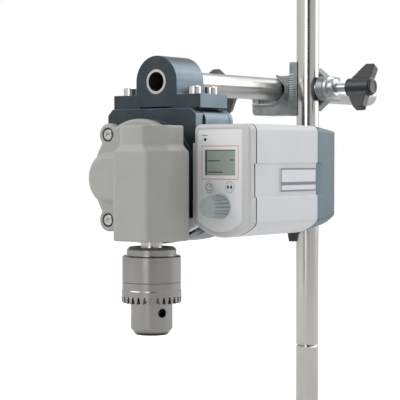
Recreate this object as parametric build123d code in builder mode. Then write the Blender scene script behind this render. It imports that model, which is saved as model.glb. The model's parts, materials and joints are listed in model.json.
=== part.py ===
from build123d import *
import math
import os

# Overhead laboratory stirrer. Lengths in millimetres, +Z up. The origin is the centre of the stand rod's foot.
# The stand rod runs up +Z, the support arm runs along Y beside it, and the motor head hangs at the arm's front end.

# ---- driving dimensions: stand, arm and where the head is ----
rod_diameter = 16.0
lower_rod_length = 46.4
upper_rod_length = 253.6
rod_stud_diameter = 8.0
rod_stud_length = 12.0
rod_joint_chamfer = 0.8
rod_end_chamfer = 1.0
arm_diameter = 16.0
arm_wall = 1.7
arm_length = 265.0
plug_depth = 10.0
plug_head = 3.0
plug_chamfer = 2.0
arm_height = 230.0        # arm axis above the foot
arm_offset = 24.0         # from the rod's axis to the arm's axis, along X
head_reach = 142.0        # from the rod's axis to the head's front face, along Y

# ---- driving dimensions: clamp ----
jaw_near = 7.4            # rod axis to the casting's front face
jaw_far = 16.5            # rod axis to the casting's rear face
jaw_back_wall = 8.0       # rod axis to the rear wall's inner face
jaw_web_height = 38.4
jaw_floor_top = 10.0      # below the arm's axis
jaw_floor_bottom = 18.5
jaw_boss_diameter = 17.0
jaw_root = 1.2            # flat at the root of a V, behind the rod
rod_wall_start = 11.4     # from the rod's axis to the boss face that carries its screw
arm_wall_start = 13.5
jaw_wall = 5.8
bush_head_diameter = 13.0
bush_head_length = 7.2
bush_shank_diameter = 9.0
clamp_screw_diameter = 6.0
pad_diameter = 8.0
pad_thickness = 1.6
jaw_web_left = 3.8         # from the arm's V root to the web
jaw_web_right = 3.9        # from the web's right side to the rod's axis
jaw_lip_left = 2.4         # from the arm's axis to the upper lip's left side
jaw_lip_top = 9.6
jaw_rear_half = 15.5
jaw_rear_level = 1.0       # the rear wall is level up to here, right of the rod's axis
jaw_rear_lean = 1.8        # from the boss face to where the rear wall's taper ends
jaw_corner = 3.0
bush_flange_thickness = 2.4
bush_step = 0.6
bush_chamfer = 0.8
rod_knob_start = 34.3     # from the clamped axis to the knob's hub
arm_knob_start = 40.0
hub_diameter = 12.5
hub_length = 20.0
knob_cap_diameter = 11.0
knob_cap_length = 1.6
wing_half_span = 17.5
wing_thickness = 6.0
wing_root_start = 2.0      # along the hub, from its inner end
wing_root_end = 17.0
wing_tip_start = 10.0
wing_tip_end = 17.5
wing_corner = 1.6
wing_cap_chamfer = 0.6
rod_wing_lean = 30.0
arm_wing_lean = -28.0

# ---- driving dimensions: arm holder ----
holder_width = 72.0
holder_depth = 29.0
holder_dome_radius = 16.8
holder_base_top = 8.4     # below the arm's axis
holder_base_bottom = 17.6
holder_relief_width = 26.8
holder_relief_height = 1.0
holder_screw_edge = 9.0     # from the holder's end to its screws
holder_screw_rows = (6.0, 23.5)
m5_diameter = 5.0
m5_head_diameter = 8.5
m5_head_height = 5.0
m5_hex = 4.0
holder_screw_grip = 9.0   # thread below the holder

# ---- driving dimensions: motor housing, below the arm's axis ----
plate_overhang = 0.5       # beyond the holder's ends
plate_ahead = 5.4          # the plate's front face, ahead of the holder's
plate_depth = 3.0          # the plate's rear face, behind the holder's front
plate_corner = 4.0
housing_arc_bottom = 105.0
housing_side_bottom = 95.7
housing_overhang = 1.5     # beyond the plate, each side
housing_drop = 1.0         # its top and bottom inside the plate's
housing_shoulder = 7.0
housing_land = 30.5        # half width of the land that carries the holder
housing_back = 28.5
cover_thickness = 5.0
cover_edge = 2.0
cover_boss_diameter = 28.0
cover_boss_height = 4.0
cover_boss_edge = 1.0
stator_gap = 2.0           # before and behind the stator
motor_drop = 62.0         # motor axis below the arm's axis
motor_bore_diameter = 66.0
stator_bore_diameter = 40.4
magnet_diameter = 39.0
motor_shaft_diameter = 8.0
motor_bearing_diameter = 19.0
motor_bearing_width = 5.0
bearing_shoulder = 0.5     # radial, in front of the front bearing
bearing_cover = 1.5        # from the front bearing to the plate's rear face
rear_bearing_seat = 1.0    # from the cover's inner face to the rear bearing
worm_teeth = 5
worm_pitch_diameter = 15.0
worm_start = 28.0         # ahead of the head's front face
worm_end = 42.0
worm_tunnel_diameter = 19.0
worm_bearing_diameter = 16.0
worm_bearing_width = 5.0

# ---- driving dimensions: gear case ----
spindle_offset = 25.0     # spindle axis beside the motor axis, along X
spindle_ahead = 35.0      # spindle axis ahead of the head's front face
flange_radius = 37.6
flange_thickness = 6.0
adapter_depth = 7.6        # dark round boss between the front plate and the case
adapter_inset = 0.8        # its outline inside the flange's
ear_radius = 7.5
ear_x = 25.0
ear_rise = 27.6           # ear centres above and below the motor axis
stud_places = ((20.0, 27.6), (9.5, -27.6))    # threaded studs behind the spindle case, from the motor axis
stud_grip = 1.5            # thread beyond the flange
flange_edge = 1.2
motor_boss_radius = 16.4
motor_boss_front = 50.4
motor_boss_bevel = 3.5
case_half_width = 21.5
case_half_depth = 21.0
case_front_half = 13.0
case_side_half = 9.5
case_shoulder = 45.2      # below the arm's axis
case_bevel_top = 41.5
case_bottom = 100.4
case_edge = 2.0            # rounding of the case's upright edges
neck_radius = 20.5
neck_top = 29.4
wheel_cavity_diameter = 37.8
wheel_cavity_top = 46.0
wheel_teeth = 25
wheel_pitch_diameter = 35.0
wheel_helix = 25.0         # degrees; the worm's is its complement, both right-handed
tooth_addendum = 1.0
tooth_dedendum = 1.3
tooth_tip = 0.95           # thickness across the tooth, at its tip and its root
tooth_root = 2.6
wheel_width = 16.0
spindle_bearing_bore = 12.0
spindle_bearing_diameter = 28.0
spindle_bearing_width = 8.0
upper_bearing_top = 36.0
lower_bearing_top = 88.0
cap_insert_top = 86.0
cap_chamfer = 0.6
seal_lip = 1.0
seal_diameter = 20.0
seal_width = 3.5
m4_diameter = 4.0
m4_head_diameter = 7.0
m4_head_height = 4.0
m4_hex = 3.0
m4_counterbore = 9.0
seal_recess = 0.4          # of the rings round the heads, below the flange's face
m4_length = 16.0

# ---- driving dimensions: spindle and chuck, heights up from the chuck's nose ----
spindle_diameter = 13.4
chuck_thread_diameter = 10.0
chuck_thread_length = 12.0
chuck_top = 104.2         # below the arm's axis
chuck_length = 54.1
chuck_cap_radius = 15.4
chuck_cap_height = 5.2
chuck_core_radius = 13.0
chuck_nose_tip_radius = 10.0
chuck_nose_chamfer = 3.8
sleeve_radius = 18.5
sleeve_upper_radius = 18.2
sleeve_bottom = 19.7
sleeve_step = 27.8
sleeve_seam = 32.2
nut_bottom = 25.0
nut_height = 7.0
nut_outer_radius = 16.5
groove_radius = 11.5
groove_top = 36.0
tooth_count = 29
tooth_depth = 4.4
tooth_gap_mouth = 2.9
tooth_gap_root = 0.7
jaw_diameter = 6.0
jaw_angle = 14.0
jaw_nose_radius = 3.5     # jaw axis from the chuck's axis, at the nose face
jaw_length = 34.0
jaw_land = 1.6
socket_diameter = 10.4
socket_depth = 36.0
jaw_open_margin = 0.05    # jaw faces stand this far outside the socket when open
key_hole_diameter = 5.6
key_hole_height = 14.0
key_hole_depth = 4.0
key_hole_azimuth = 69.6   # from -Y towards +X

# ---- driving dimensions: control box, from the arm's axis and the head's front face ----
box_gap = 3.0              # beside the motor housing
box_width = 42.5
box_top = 28.5
box_side_bottom = 90.0
box_arc_bottom = 98.5
box_corner = 4.5
box_front = 12.9          # ahead of the head's front face
box_seam = 5.6
box_cover_back = 63.4     # behind the head's front face
box_back = 89.5
box_wall = 2.5
rear_inset = 3.4
band_top = 52.8
band_bottom = 73.4
band_depth = 1.2
band_end = 79.0
overlay_margin = 2.9       # places across the panel count from the box's left side
overlay_width = 33.8
overlay_top = 31.5
overlay_side_bottom = 88.0
overlay_arc_bottom = 95.4
overlay_thickness = 0.8
overlay_sink = 0.3
overlay_corner = 2.0
window_margin = 8.5
window_width = 23.0
window_top = 44.4
window_bottom = 60.0
window_sink = 0.2
module_thickness = 3.0
key_centres = ((12.1, 67.4), (27.5, 67.2))
key_diameter = 6.8
key_rise = 0.3
key_travel = 0.4
key_stem_diameter = 4.0
dial_margin = 20.5
dial_drop = 79.3
dial_base_diameter = 14.9
dial_front_diameter = 12.0
dial_length = 13.0
dial_flutes = 12
encoder_shaft_diameter = 6.0
encoder_width = 12.0
led_margin = 8.5
led_drop = 38.0
led_diameter = 2.0
board_thickness = 1.6
board_gap = 5.0           # from the bezel's inner face to the board
name_plate_front = 21.3
name_plate_back = 62.2
name_plate_top = 55.8
name_plate_bottom = 70.5
name_plate_thickness = 0.8
switch_margin = 22.0
switch_drop = 50.0
switch_width = 14.0
switch_height = 21.0
rocker_width = 9.0
rocker_height = 15.0
rocker_angle = 8.0
rocker_pivot_diameter = 3.0
rocker_pivot_length = 1.0
rocker_pivot_depth = 1.5   # behind the cover's rear face
gland_margin = 14.0
gland_back = 77.5
gland_seat = 97.5
gland_bottom = 105.0
gland_diameter = 8.0
gland_neck_diameter = 6.0
bracket_top = 87.0
bracket_bottom = 96.0
bracket_width = 8.2        # of the lug that shows beside the gear case
bracket_bow = 4.0          # rise of its lower edge
bracket_thickness = 5.0
spacer_back = 26.0
spacer_top = 40.0

# ---- fits and clearances ----
running = 0.05            # radial, a shaft or screw in its hole
grip = 0.1                # between a rod and what clamps it
free = 0.3                # between pieces that pass each other

# ---- axes and faces worked out from the above ----
rod_radius = rod_diameter / 2
arm_radius = arm_diameter / 2
arm_x = -arm_offset
arm_z = arm_height
head_y = -head_reach
motor_z = arm_z - motor_drop
spindle_x = arm_x + spindle_offset
spindle_y = head_y - spindle_ahead
chuck_z = arm_z - chuck_top - chuck_length
rod_joint = lower_rod_length
holder_screw_x = holder_width / 2 - holder_screw_edge
plate_half = holder_width / 2 + plate_overhang
housing_half = plate_half + housing_overhang
plate_front = head_y - plate_ahead
box_left = housing_half + box_gap
box_right = box_left + box_width
overlay_left = box_left + overlay_margin
overlay_right = overlay_left + overlay_width
window_left = box_left + window_margin
dial_x = box_left + dial_margin
led_x = box_left + led_margin
switch_x = box_left + switch_margin
gland_x = box_left + gland_margin


def facing_front(y):
    """Sketch plane at y, drawn in X and Z. A positive extrusion goes forward, a negative one to the rear."""
    return Plane.XZ.offset(-y)


def facing_right(x):
    """Sketch plane at x, drawn in Y and Z, extruding towards +X."""
    return Plane.YZ.offset(x)


def level(z):
    """Sketch plane at height z, extruding upwards."""
    return Plane.XY.offset(z)


def up_from(x, y, z):
    """Plane at a point with its normal up."""
    return Plane(origin=(x, y, z), x_dir=(1, 0, 0), z_dir=(0, 0, 1))


def forward_from(x, y, z):
    """Plane at a point with its normal forward, towards -Y."""
    return Plane(origin=(x, y, z), x_dir=(1, 0, 0), z_dir=(0, -1, 0))


def turned(plane, *points):
    """Turned piece about the plane's normal, from the (radius, height) corners of its closed half section."""
    with BuildPart() as piece:
        with BuildSketch(Plane(origin=plane.origin, x_dir=plane.x_dir, z_dir=-plane.y_dir)):
            with BuildLine():
                Polyline(*points, close=True)
            make_face()
        revolve(axis=Axis(plane.origin, plane.z_dir))
    return piece


def ring(plane, inner, outer, height):
    """Plain ring standing on the plane, by diameters."""
    return turned(plane, (inner / 2, 0), (outer / 2, 0), (outer / 2, height), (inner / 2, height))


def cap_screw(plane, diameter, head_diameter, head_height, hex_size, length):
    """Socket head screw: underside of the head on the plane, head along its normal."""
    edge = 0.4
    with BuildPart() as screw:
        with BuildSketch(plane):
            Circle(head_diameter / 2)
        extrude(amount=head_height)
        chamfer(screw.edges().sort_by(Axis(plane.origin, plane.z_dir))[-1], length=edge)
        with BuildSketch(plane.offset(head_height)):
            RegularPolygon(hex_size / 2, 6, major_radius=False)
        extrude(amount=-head_height / 2, mode=Mode.SUBTRACT)
        with BuildSketch(plane):
            Circle(diameter / 2)
        extrude(amount=-length)
    return screw


def screw_group(planes, *sizes):
    """Equal screws at several places, as one node of separate solids."""
    with BuildPart() as group:
        for plane in planes:
            add(cap_screw(plane, *sizes).part)
    return group


def toothed_roll(plane, count, pitch_diameter, helix, length, tooth_at_mesh):
    """Right-handed helical teeth about the plane's normal, with a tooth or a gap at mid length on the mesh side."""
    pitch = pitch_diameter / 2
    root, tip = pitch - tooth_dedendum, pitch + tooth_addendum
    across = math.cos(math.radians(helix))
    root_half = tooth_root / across / root / 2
    tip_half = tooth_tip / across / tip / 2
    twist = 360 * length * math.tan(math.radians(helix)) / (math.pi * pitch_diameter)
    step = 2 * math.pi / count
    first = -math.radians(twist) / 2 + (0 if tooth_at_mesh else math.pi + step / 2)

    def at(radius, angle):
        return plane.from_local_coords((radius * math.cos(angle), radius * math.sin(angle), 0))

    edges = []
    for number in range(count):
        middle = first + number * step
        start, end = middle - root_half, middle + root_half
        bottom = middle + step - root_half
        edges += [
            Edge.make_line(at(root, start), at(tip, middle - tip_half)),
            Edge.make_three_point_arc(at(tip, middle - tip_half), at(tip, middle), at(tip, middle + tip_half)),
            Edge.make_line(at(tip, middle + tip_half), at(root, end)),
            Edge.make_three_point_arc(at(root, end), at(root, (end + bottom) / 2), at(root, bottom)),
        ]
    return Solid.extrude_linear_with_rotation(Wire(edges), plane.origin, plane.z_dir * length, twist)


# ======== stand rod ========
stud_top = rod_joint + rod_stud_length
rod_lower = turned(
    up_from(0, 0, 0),
    (0, 0),
    (rod_radius, 0),
    (rod_radius, rod_joint - rod_joint_chamfer),
    (rod_radius - rod_joint_chamfer, rod_joint),
    (rod_stud_diameter / 2, rod_joint),
    (rod_stud_diameter / 2, stud_top - rod_end_chamfer),
    (rod_stud_diameter / 2 - rod_end_chamfer, stud_top),
    (0, stud_top),
)
rod_lower.part.label = "rod_lower"

upper_start = rod_joint + grip
rod_top = rod_joint + upper_rod_length
stud_bore = rod_stud_diameter / 2 + running
rod_upper = turned(
    up_from(0, 0, 0),
    (stud_bore, upper_start),
    (rod_radius - rod_joint_chamfer, upper_start),
    (rod_radius, upper_start + rod_joint_chamfer),
    (rod_radius, rod_top - rod_end_chamfer),
    (rod_radius - rod_end_chamfer, rod_top),
    (0, rod_top),
    (0, stud_top + rod_end_chamfer),
    (stud_bore, stud_top + rod_end_chamfer),
)
rod_upper.part.label = "rod_upper"


# ======== boss-head clamp ========
def jaw_vee(side, depth, height):
    """Right-angled V for a round bar at the origin of the sketch, opening towards the side's sign along X."""
    reach = rod_radius + grip
    root = rod_radius + jaw_root
    root_half = math.sqrt(2) * reach - root
    with BuildSketch() as vee:
        with BuildLine():
            Polyline(
                (-side * root, -root_half),
                (-side * root, root_half),
                (-side * (root + root_half - height), height),
                (side * depth, height),
                (side * depth, -height),
                (-side * (root + root_half - height), -height),
                close=True,
            )
        make_face()
    return vee.sketch


jaw_width = jaw_near + jaw_far
jaw_middle = (jaw_far - jaw_near) / 2
web_left = arm_x + arm_radius + jaw_root + jaw_web_left
web_right = -jaw_web_right
lip_left = arm_x + jaw_lip_left
arm_wall_x = arm_x - arm_wall_start
floor_left = arm_wall_x - jaw_wall

with BuildPart() as clamp_body:
    # web with the rod's seat on its right, then the block with the arm's seat on its left
    with BuildSketch(facing_front(-jaw_near)):
        with Locations(((web_left + web_right) / 2, arm_z)):
            Rectangle(web_right - web_left, jaw_web_height)
        with Locations(((lip_left + web_left) / 2, arm_z - (jaw_floor_bottom - jaw_lip_top) / 2)):
            Rectangle(web_left - lip_left, jaw_floor_bottom + jaw_lip_top)
        with Locations(((floor_left + web_left) / 2, arm_z - (jaw_floor_top + jaw_floor_bottom) / 2)):
            Rectangle(web_left - floor_left, jaw_floor_bottom - jaw_floor_top)
    extrude(amount=-jaw_width)
    # rear wall behind the rod, tapering to the boss
    with BuildSketch(facing_front(jaw_back_wall)):
        with BuildLine():
            Polyline(
                (web_left, arm_z - jaw_rear_half),
                (web_left, arm_z + jaw_rear_half),
                (jaw_rear_level, arm_z + jaw_rear_half),
                (rod_wall_start - jaw_rear_lean, arm_z + jaw_boss_diameter / 2),
                (rod_wall_start + jaw_wall, arm_z + jaw_boss_diameter / 2),
                (rod_wall_start + jaw_wall, arm_z - jaw_boss_diameter / 2),
                (rod_wall_start - jaw_rear_lean, arm_z - jaw_boss_diameter / 2),
                (jaw_rear_level, arm_z - jaw_rear_half),
                close=True,
            )
        make_face()
    extrude(amount=jaw_back_wall - jaw_far)
    # end walls with their bosses
    with BuildSketch(facing_right(rod_wall_start)):
        with Locations((0, arm_z)):
            Circle(jaw_boss_diameter / 2)
        with Locations((jaw_far / 2, arm_z)):
            Rectangle(jaw_far, jaw_boss_diameter)
    extrude(amount=jaw_wall)
    with BuildSketch(facing_right(arm_wall_x)):
        with Locations((0, arm_z)):
            Circle(jaw_boss_diameter / 2)
        with Locations((jaw_middle, arm_z - jaw_floor_bottom / 2)):
            Rectangle(jaw_width, jaw_floor_bottom)
    extrude(amount=-jaw_wall)
    fillet(clamp_body.edges().filter_by(Axis.Y).group_by(Axis.X)[0].sort_by(Axis.Z)[0], radius=jaw_corner)
    # seats and screw holes
    with BuildSketch(level(arm_z - jaw_web_height)):
        add(jaw_vee(1, rod_wall_start, jaw_back_wall))
    extrude(amount=2 * jaw_web_height, mode=Mode.SUBTRACT)
    with BuildSketch(facing_front(-2 * jaw_near)):
        with Locations((arm_x, arm_z)):
            add(jaw_vee(-1, arm_wall_start, jaw_floor_top))
    extrude(amount=-4 * jaw_width, mode=Mode.SUBTRACT)
    for wall_x in (rod_wall_start, floor_left):
        with BuildSketch(facing_right(wall_x)):
            with Locations((0, arm_z)):
                Circle(bush_shank_diameter / 2)
        extrude(amount=jaw_wall, mode=Mode.SUBTRACT)
clamp_body.part.label = "clamp_body"


def clamp_plane(side, lean):
    """Plane on the clamped bar's axis whose normal points out along the screw and whose x follows the upper wing."""
    centre_x = 0.0 if side > 0 else arm_x
    turn = math.radians(lean)
    return Plane(origin=(centre_x, 0, arm_z), x_dir=(0, math.sin(turn), math.cos(turn)), z_dir=(side, 0, 0))


def make_pad(plane):
    """Pressure pad between the bar and the screw's end."""
    return turned(
        plane.offset(rod_radius + grip),
        (0, 0),
        (pad_diameter / 2, 0),
        (pad_diameter / 2, pad_thickness),
        (0, pad_thickness),
    )


def make_screw(plane, knob_start):
    """Clamping screw, from behind the pad to inside the knob's hub."""
    start = rod_radius + grip + pad_thickness
    end = knob_start + hub_length - knob_cap_length
    radius = clamp_screw_diameter / 2
    return turned(plane, (0, start), (radius, start), (radius, end), (0, end))


def make_bush(plane, wall_start):
    """Plated threaded bush: round head outside the casting's wall, shank in the wall."""
    bore = clamp_screw_diameter / 2 + running
    seat = wall_start + jaw_wall
    end = seat + bush_head_length
    flange_radius = jaw_boss_diameter / 2 - free
    flange_end = seat + bush_flange_thickness
    head_radius = bush_head_diameter / 2
    return turned(
        plane,
        (bore, wall_start),
        (bush_shank_diameter / 2, wall_start),
        (bush_shank_diameter / 2, seat),
        (flange_radius, seat),
        (flange_radius, flange_end),
        (head_radius, flange_end + bush_step),
        (head_radius, end - bush_chamfer),
        (head_radius - bush_chamfer, end),
        (bore, end),
    )


def make_wing(plane, knob_start):
    """Moulded wing knob on its hub, bored for the screw, with a seat for its cap."""
    root_start, root_end = knob_start + wing_root_start, knob_start + wing_root_end
    tip_start, tip_end = knob_start + wing_tip_start, knob_start + wing_tip_end
    end = knob_start + hub_length - knob_cap_length
    with BuildPart() as wing:
        with BuildSketch(Plane(origin=plane.origin, x_dir=plane.x_dir, z_dir=-plane.y_dir)) as blades:
            with BuildLine():
                Polyline(
                    (0, root_start),
                    (hub_diameter / 2, root_start),
                    (wing_half_span, tip_start),
                    (wing_half_span, tip_end),
                    (hub_diameter / 2, root_end),
                    (0, root_end),
                    close=True,
                )
            make_face()
            mirror(about=Plane.YZ)
            tips = blades.vertices().group_by(Axis.X)
            fillet(tips[0] + tips[-1], radius=wing_corner)
        extrude(amount=wing_thickness / 2, both=True)
        with BuildSketch(plane.offset(knob_start)):
            Circle(hub_diameter / 2)
        extrude(amount=end - knob_start)
        with BuildSketch(plane.offset(knob_start)):
            Circle(clamp_screw_diameter / 2)
        extrude(amount=end - knob_start, mode=Mode.SUBTRACT)
    return wing


def make_wing_cap(plane, knob_start):
    """Round cap that closes the knob's hub over the screw's end."""
    seat = knob_start + hub_length - knob_cap_length
    radius = knob_cap_diameter / 2
    return turned(
        plane,
        (0, seat),
        (radius, seat),
        (radius, seat + knob_cap_length - wing_cap_chamfer),
        (radius - wing_cap_chamfer, seat + knob_cap_length),
        (0, seat + knob_cap_length),
    )


clamp_pieces = []
for bar, side, lean, wall_start, knob_start in (
    ("rod", 1, rod_wing_lean, rod_wall_start, rod_knob_start),
    ("arm", -1, arm_wing_lean, arm_wall_start, arm_knob_start),
):
    plane = clamp_plane(side, lean)
    for name, piece in (
        ("pad", make_pad(plane)),
        ("clamp_screw", make_screw(plane, knob_start)),
        ("bush", make_bush(plane, wall_start)),
        ("wing_knob", make_wing(plane, knob_start)),
        ("knob_cap", make_wing_cap(plane, knob_start)),
    ):
        piece.part.label = f"{bar}_{name}"
        clamp_pieces.append(piece)


# ======== support arm ========
arm_back = head_y + arm_length
arm_bore = arm_diameter - 2 * arm_wall
support_arm = ring(forward_from(arm_x, arm_back, arm_z), arm_bore, arm_diameter, arm_length)
support_arm.part.label = "support_arm"

arm_end_plug = turned(
    Plane(origin=(arm_x, arm_back, arm_z), x_dir=(1, 0, 0), z_dir=(0, 1, 0)),
    (0, -plug_depth),
    (arm_bore / 2, -plug_depth),
    (arm_bore / 2, 0),
    (arm_radius, 0),
    (arm_radius, plug_head - plug_chamfer),
    (arm_radius - plug_chamfer, plug_head),
    (0, plug_head),
)
arm_end_plug.part.label = "arm_end_plug"


# ======== arm holder ========
holder_bottom = arm_z - holder_base_bottom
holder_screw_places = [
    (arm_x + side * holder_screw_x, head_y + row) for side in (-1, 1) for row in holder_screw_rows
]
with BuildPart() as arm_holder:
    with BuildSketch(facing_front(head_y)):
        with Locations((arm_x, arm_z)):
            Circle(holder_dome_radius)
        with Locations((arm_x, arm_z - holder_base_bottom / 2)):
            Rectangle(2 * holder_dome_radius, holder_base_bottom)
        with Locations((arm_x, arm_z - (holder_base_top + holder_base_bottom) / 2)):
            Rectangle(holder_width, holder_base_bottom - holder_base_top)
        with Locations((arm_x, arm_z)):
            Circle(arm_radius + running, mode=Mode.SUBTRACT)
        with Locations((arm_x, holder_bottom + holder_relief_height / 2)):
            Rectangle(holder_relief_width, holder_relief_height, mode=Mode.SUBTRACT)
    extrude(amount=-holder_depth)
    with BuildSketch(level(holder_bottom)):
        with Locations(*holder_screw_places):
            Circle(m5_diameter / 2 + running)
    extrude(amount=holder_base_bottom - holder_base_top, mode=Mode.SUBTRACT)
    with BuildSketch(facing_right(arm_x - holder_dome_radius)):
        with Locations((head_y + holder_depth / 2, arm_z)):
            Circle(m5_diameter / 2)
    extrude(amount=holder_dome_radius - arm_radius, mode=Mode.SUBTRACT)
arm_holder.part.label = "arm_holder"

holder_top = arm_z - holder_base_top
holder_screws = screw_group(
    [up_from(x, y, holder_top) for x, y in holder_screw_places],
    m5_diameter,
    m5_head_diameter,
    m5_head_height,
    m5_hex,
    holder_base_bottom - holder_base_top + holder_screw_grip,
)
holder_screws.part.label = "holder_screws"

with BuildPart() as arm_set_screw:
    with BuildSketch(facing_right(arm_x - holder_dome_radius + 1.0)):
        with Locations((head_y + holder_depth / 2, arm_z)):
            Circle(m5_diameter / 2)
    extrude(amount=holder_dome_radius - 1.0 - arm_radius - grip)
    with BuildSketch(facing_right(arm_x - holder_dome_radius + 1.0)):
        with Locations((head_y + holder_depth / 2, arm_z)):
            RegularPolygon(m5_diameter / 4, 6, major_radius=False)
    extrude(amount=2.5, mode=Mode.SUBTRACT)
arm_set_screw.part.label = "arm_set_screw"


# ======== motor housing ========
def head_outline(half, drop):
    """Outline of the head in X and Z about the arm's axis: level top, upright sides, bowed bottom."""
    top = -holder_base_bottom - drop
    with BuildSketch() as outline:
        with BuildLine():
            Polyline((-half, -housing_side_bottom), (-half, top), (half, top), (half, -housing_side_bottom))
            ThreePointArc(
                (half, -housing_side_bottom), (0, drop - housing_arc_bottom), (-half, -housing_side_bottom)
            )
        make_face()
    return outline


def plate_outline():
    """Outline of the front plate, its upper corners cut off."""
    outline = head_outline(plate_half, 0)
    with BuildSketch() as cut:
        add(outline.sketch)
        chamfer(cut.vertices().group_by(Axis.Y)[-1], length=plate_corner)
    return cut.sketch


def housing_outline():
    """Outline of the motor housing and its cover, with rounded shoulders."""
    outline = head_outline(housing_half, housing_drop)
    with BuildSketch() as rounded:
        add(outline.sketch)
        fillet(rounded.vertices().group_by(Axis.Y)[-1], radius=housing_shoulder)
    return rounded.sketch


def motor_axis_plane(behind):
    """Plane across the motor axis, this far behind the head's front face, normal to the rear."""
    return Plane(origin=(arm_x, head_y + behind, motor_z), x_dir=(1, 0, 0), z_dir=(0, 1, 0))


front_bearing_start = plate_depth - bearing_cover - motor_bearing_width
rear_bearing_start = housing_back + rear_bearing_seat
ear_places = [(-ear_x, ear_rise), (-ear_x, -ear_rise)]


case_back = plate_front - adapter_depth


def flange_outline(inset):
    """Round flange of the gear case about the motor axis, with its two screw ears on the left."""
    with BuildSketch() as outline:
        Circle(flange_radius - inset)
        with Locations(*ear_places):
            Circle(ear_radius - inset)
    return outline.sketch


with BuildPart() as housing_plate:
    with BuildSketch(facing_front(plate_front)):
        with Locations((arm_x, arm_z)):
            add(plate_outline())
    extrude(amount=-plate_ahead - plate_depth)
    with BuildSketch(facing_front(plate_front)):
        with Locations((arm_x, motor_z)):
            add(flange_outline(adapter_inset))
    extrude(amount=adapter_depth)
    with BuildSketch(motor_axis_plane(case_back - head_y)):
        Circle(motor_bearing_diameter / 2 - bearing_shoulder)
    extrude(amount=head_y - case_back + plate_depth, mode=Mode.SUBTRACT)
    with BuildSketch(motor_axis_plane(front_bearing_start)):
        Circle(motor_bearing_diameter / 2)
    extrude(amount=plate_depth - front_bearing_start, mode=Mode.SUBTRACT)
    with BuildSketch(facing_front(case_back)):
        with Locations(*[(arm_x + x, motor_z + z) for x, z in (*ear_places, *stud_places)]):
            Circle(m4_diameter / 2)
    extrude(amount=case_back - head_y - plate_depth, mode=Mode.SUBTRACT)
housing_plate.part.label = "housing_plate"

with BuildPart() as motor_housing:
    with BuildSketch(facing_front(head_y + plate_depth)):
        with Locations((arm_x, arm_z)):
            add(housing_outline())
    extrude(amount=plate_depth - housing_back)
    # land under the holder, level with the plate
    with BuildSketch(facing_front(head_y + plate_depth)):
        with Locations((arm_x, holder_bottom - housing_drop / 2)):
            Rectangle(2 * housing_land, housing_drop)
    extrude(amount=plate_depth - housing_back)
    with BuildSketch(motor_axis_plane(plate_depth)):
        Circle(motor_bore_diameter / 2)
    extrude(amount=housing_back - plate_depth, mode=Mode.SUBTRACT)
    with BuildSketch(level(holder_bottom)):
        with Locations(*holder_screw_places):
            Circle(m5_diameter / 2)
    extrude(amount=-holder_screw_grip, mode=Mode.SUBTRACT)
motor_housing.part.label = "motor_housing"

with BuildPart() as housing_cover:
    with BuildSketch(facing_front(head_y + housing_back)):
        with Locations((arm_x, arm_z)):
            add(housing_outline())
    extrude(amount=-cover_thickness)
    fillet(housing_cover.faces().sort_by(Axis.Y)[-1].edges(), radius=cover_edge)
    with BuildSketch(motor_axis_plane(housing_back)):
        Circle(cover_boss_diameter / 2)
    extrude(amount=cover_thickness + cover_boss_height)
    fillet(housing_cover.faces().sort_by(Axis.Y)[-1].edges(), radius=cover_boss_edge)
    with BuildSketch(motor_axis_plane(housing_back)):
        Circle(motor_bearing_diameter / 2)
    extrude(amount=rear_bearing_start + motor_bearing_width - housing_back, mode=Mode.SUBTRACT)
    with BuildSketch(motor_axis_plane(housing_back)):
        with GridLocations(2 * holder_screw_x, 2 * ear_rise, 2, 2):
            Circle(m4_diameter / 2 + running)
    extrude(amount=cover_thickness, mode=Mode.SUBTRACT)
housing_cover.part.label = "housing_cover"

cover_face = head_y + housing_back + cover_thickness
cover_screws = screw_group(
    [
        Plane(
            origin=(arm_x + side * holder_screw_x, cover_face, motor_z + rise * ear_rise),
            x_dir=(1, 0, 0),
            z_dir=(0, 1, 0),
        )
        for side in (-1, 1)
        for rise in (-1, 1)
    ],
    m4_diameter,
    m4_head_diameter,
    m4_head_height,
    m4_hex,
    cover_thickness - running,
)
cover_screws.part.label = "cover_screws"

stator_start = plate_depth + stator_gap
stator_length = housing_back - plate_depth - 2 * stator_gap
motor_stator = ring(motor_axis_plane(stator_start), stator_bore_diameter, motor_bore_diameter, stator_length)
motor_stator.part.label = "motor_stator"

with BuildPart() as motor_bearings:
    for start in (front_bearing_start, rear_bearing_start):
        bearing = ring(
            motor_axis_plane(start),
            motor_shaft_diameter + 2 * running,
            motor_bearing_diameter,
            motor_bearing_width,
        )
        add(bearing.part)
motor_bearings.part.label = "motor_bearings"

rotor_magnet = ring(motor_axis_plane(stator_start), motor_shaft_diameter, magnet_diameter, stator_length)
rotor_magnet.part.label = "rotor_magnet"

shaft_radius = motor_shaft_diameter / 2
worm_helix = 90 - wheel_helix
worm_blank = turned(
    motor_axis_plane(0),
    (0, -worm_end - grip - worm_bearing_width),
    (shaft_radius, -worm_end - grip - worm_bearing_width),
    (shaft_radius, rear_bearing_start + motor_bearing_width),
    (0, rear_bearing_start + motor_bearing_width),
)
with BuildPart() as rotor_shaft:
    add(worm_blank.part)
    worm_plane = motor_axis_plane(-worm_end)
    add(toothed_roll(worm_plane, worm_teeth, worm_pitch_diameter, worm_helix, worm_end - worm_start, True))
rotor_shaft.part.label = "rotor_shaft"

worm_bearing = ring(
    motor_axis_plane(-worm_end - grip - worm_bearing_width),
    motor_shaft_diameter + 2 * running,
    worm_bearing_diameter,
    worm_bearing_width,
)
worm_bearing.part.label = "worm_bearing"


# ======== gear case ========
def spindle_plane(drop):
    """Level plane on the spindle's axis, this far below the arm's axis."""
    return up_from(spindle_x, spindle_y, arm_z - drop)


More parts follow.
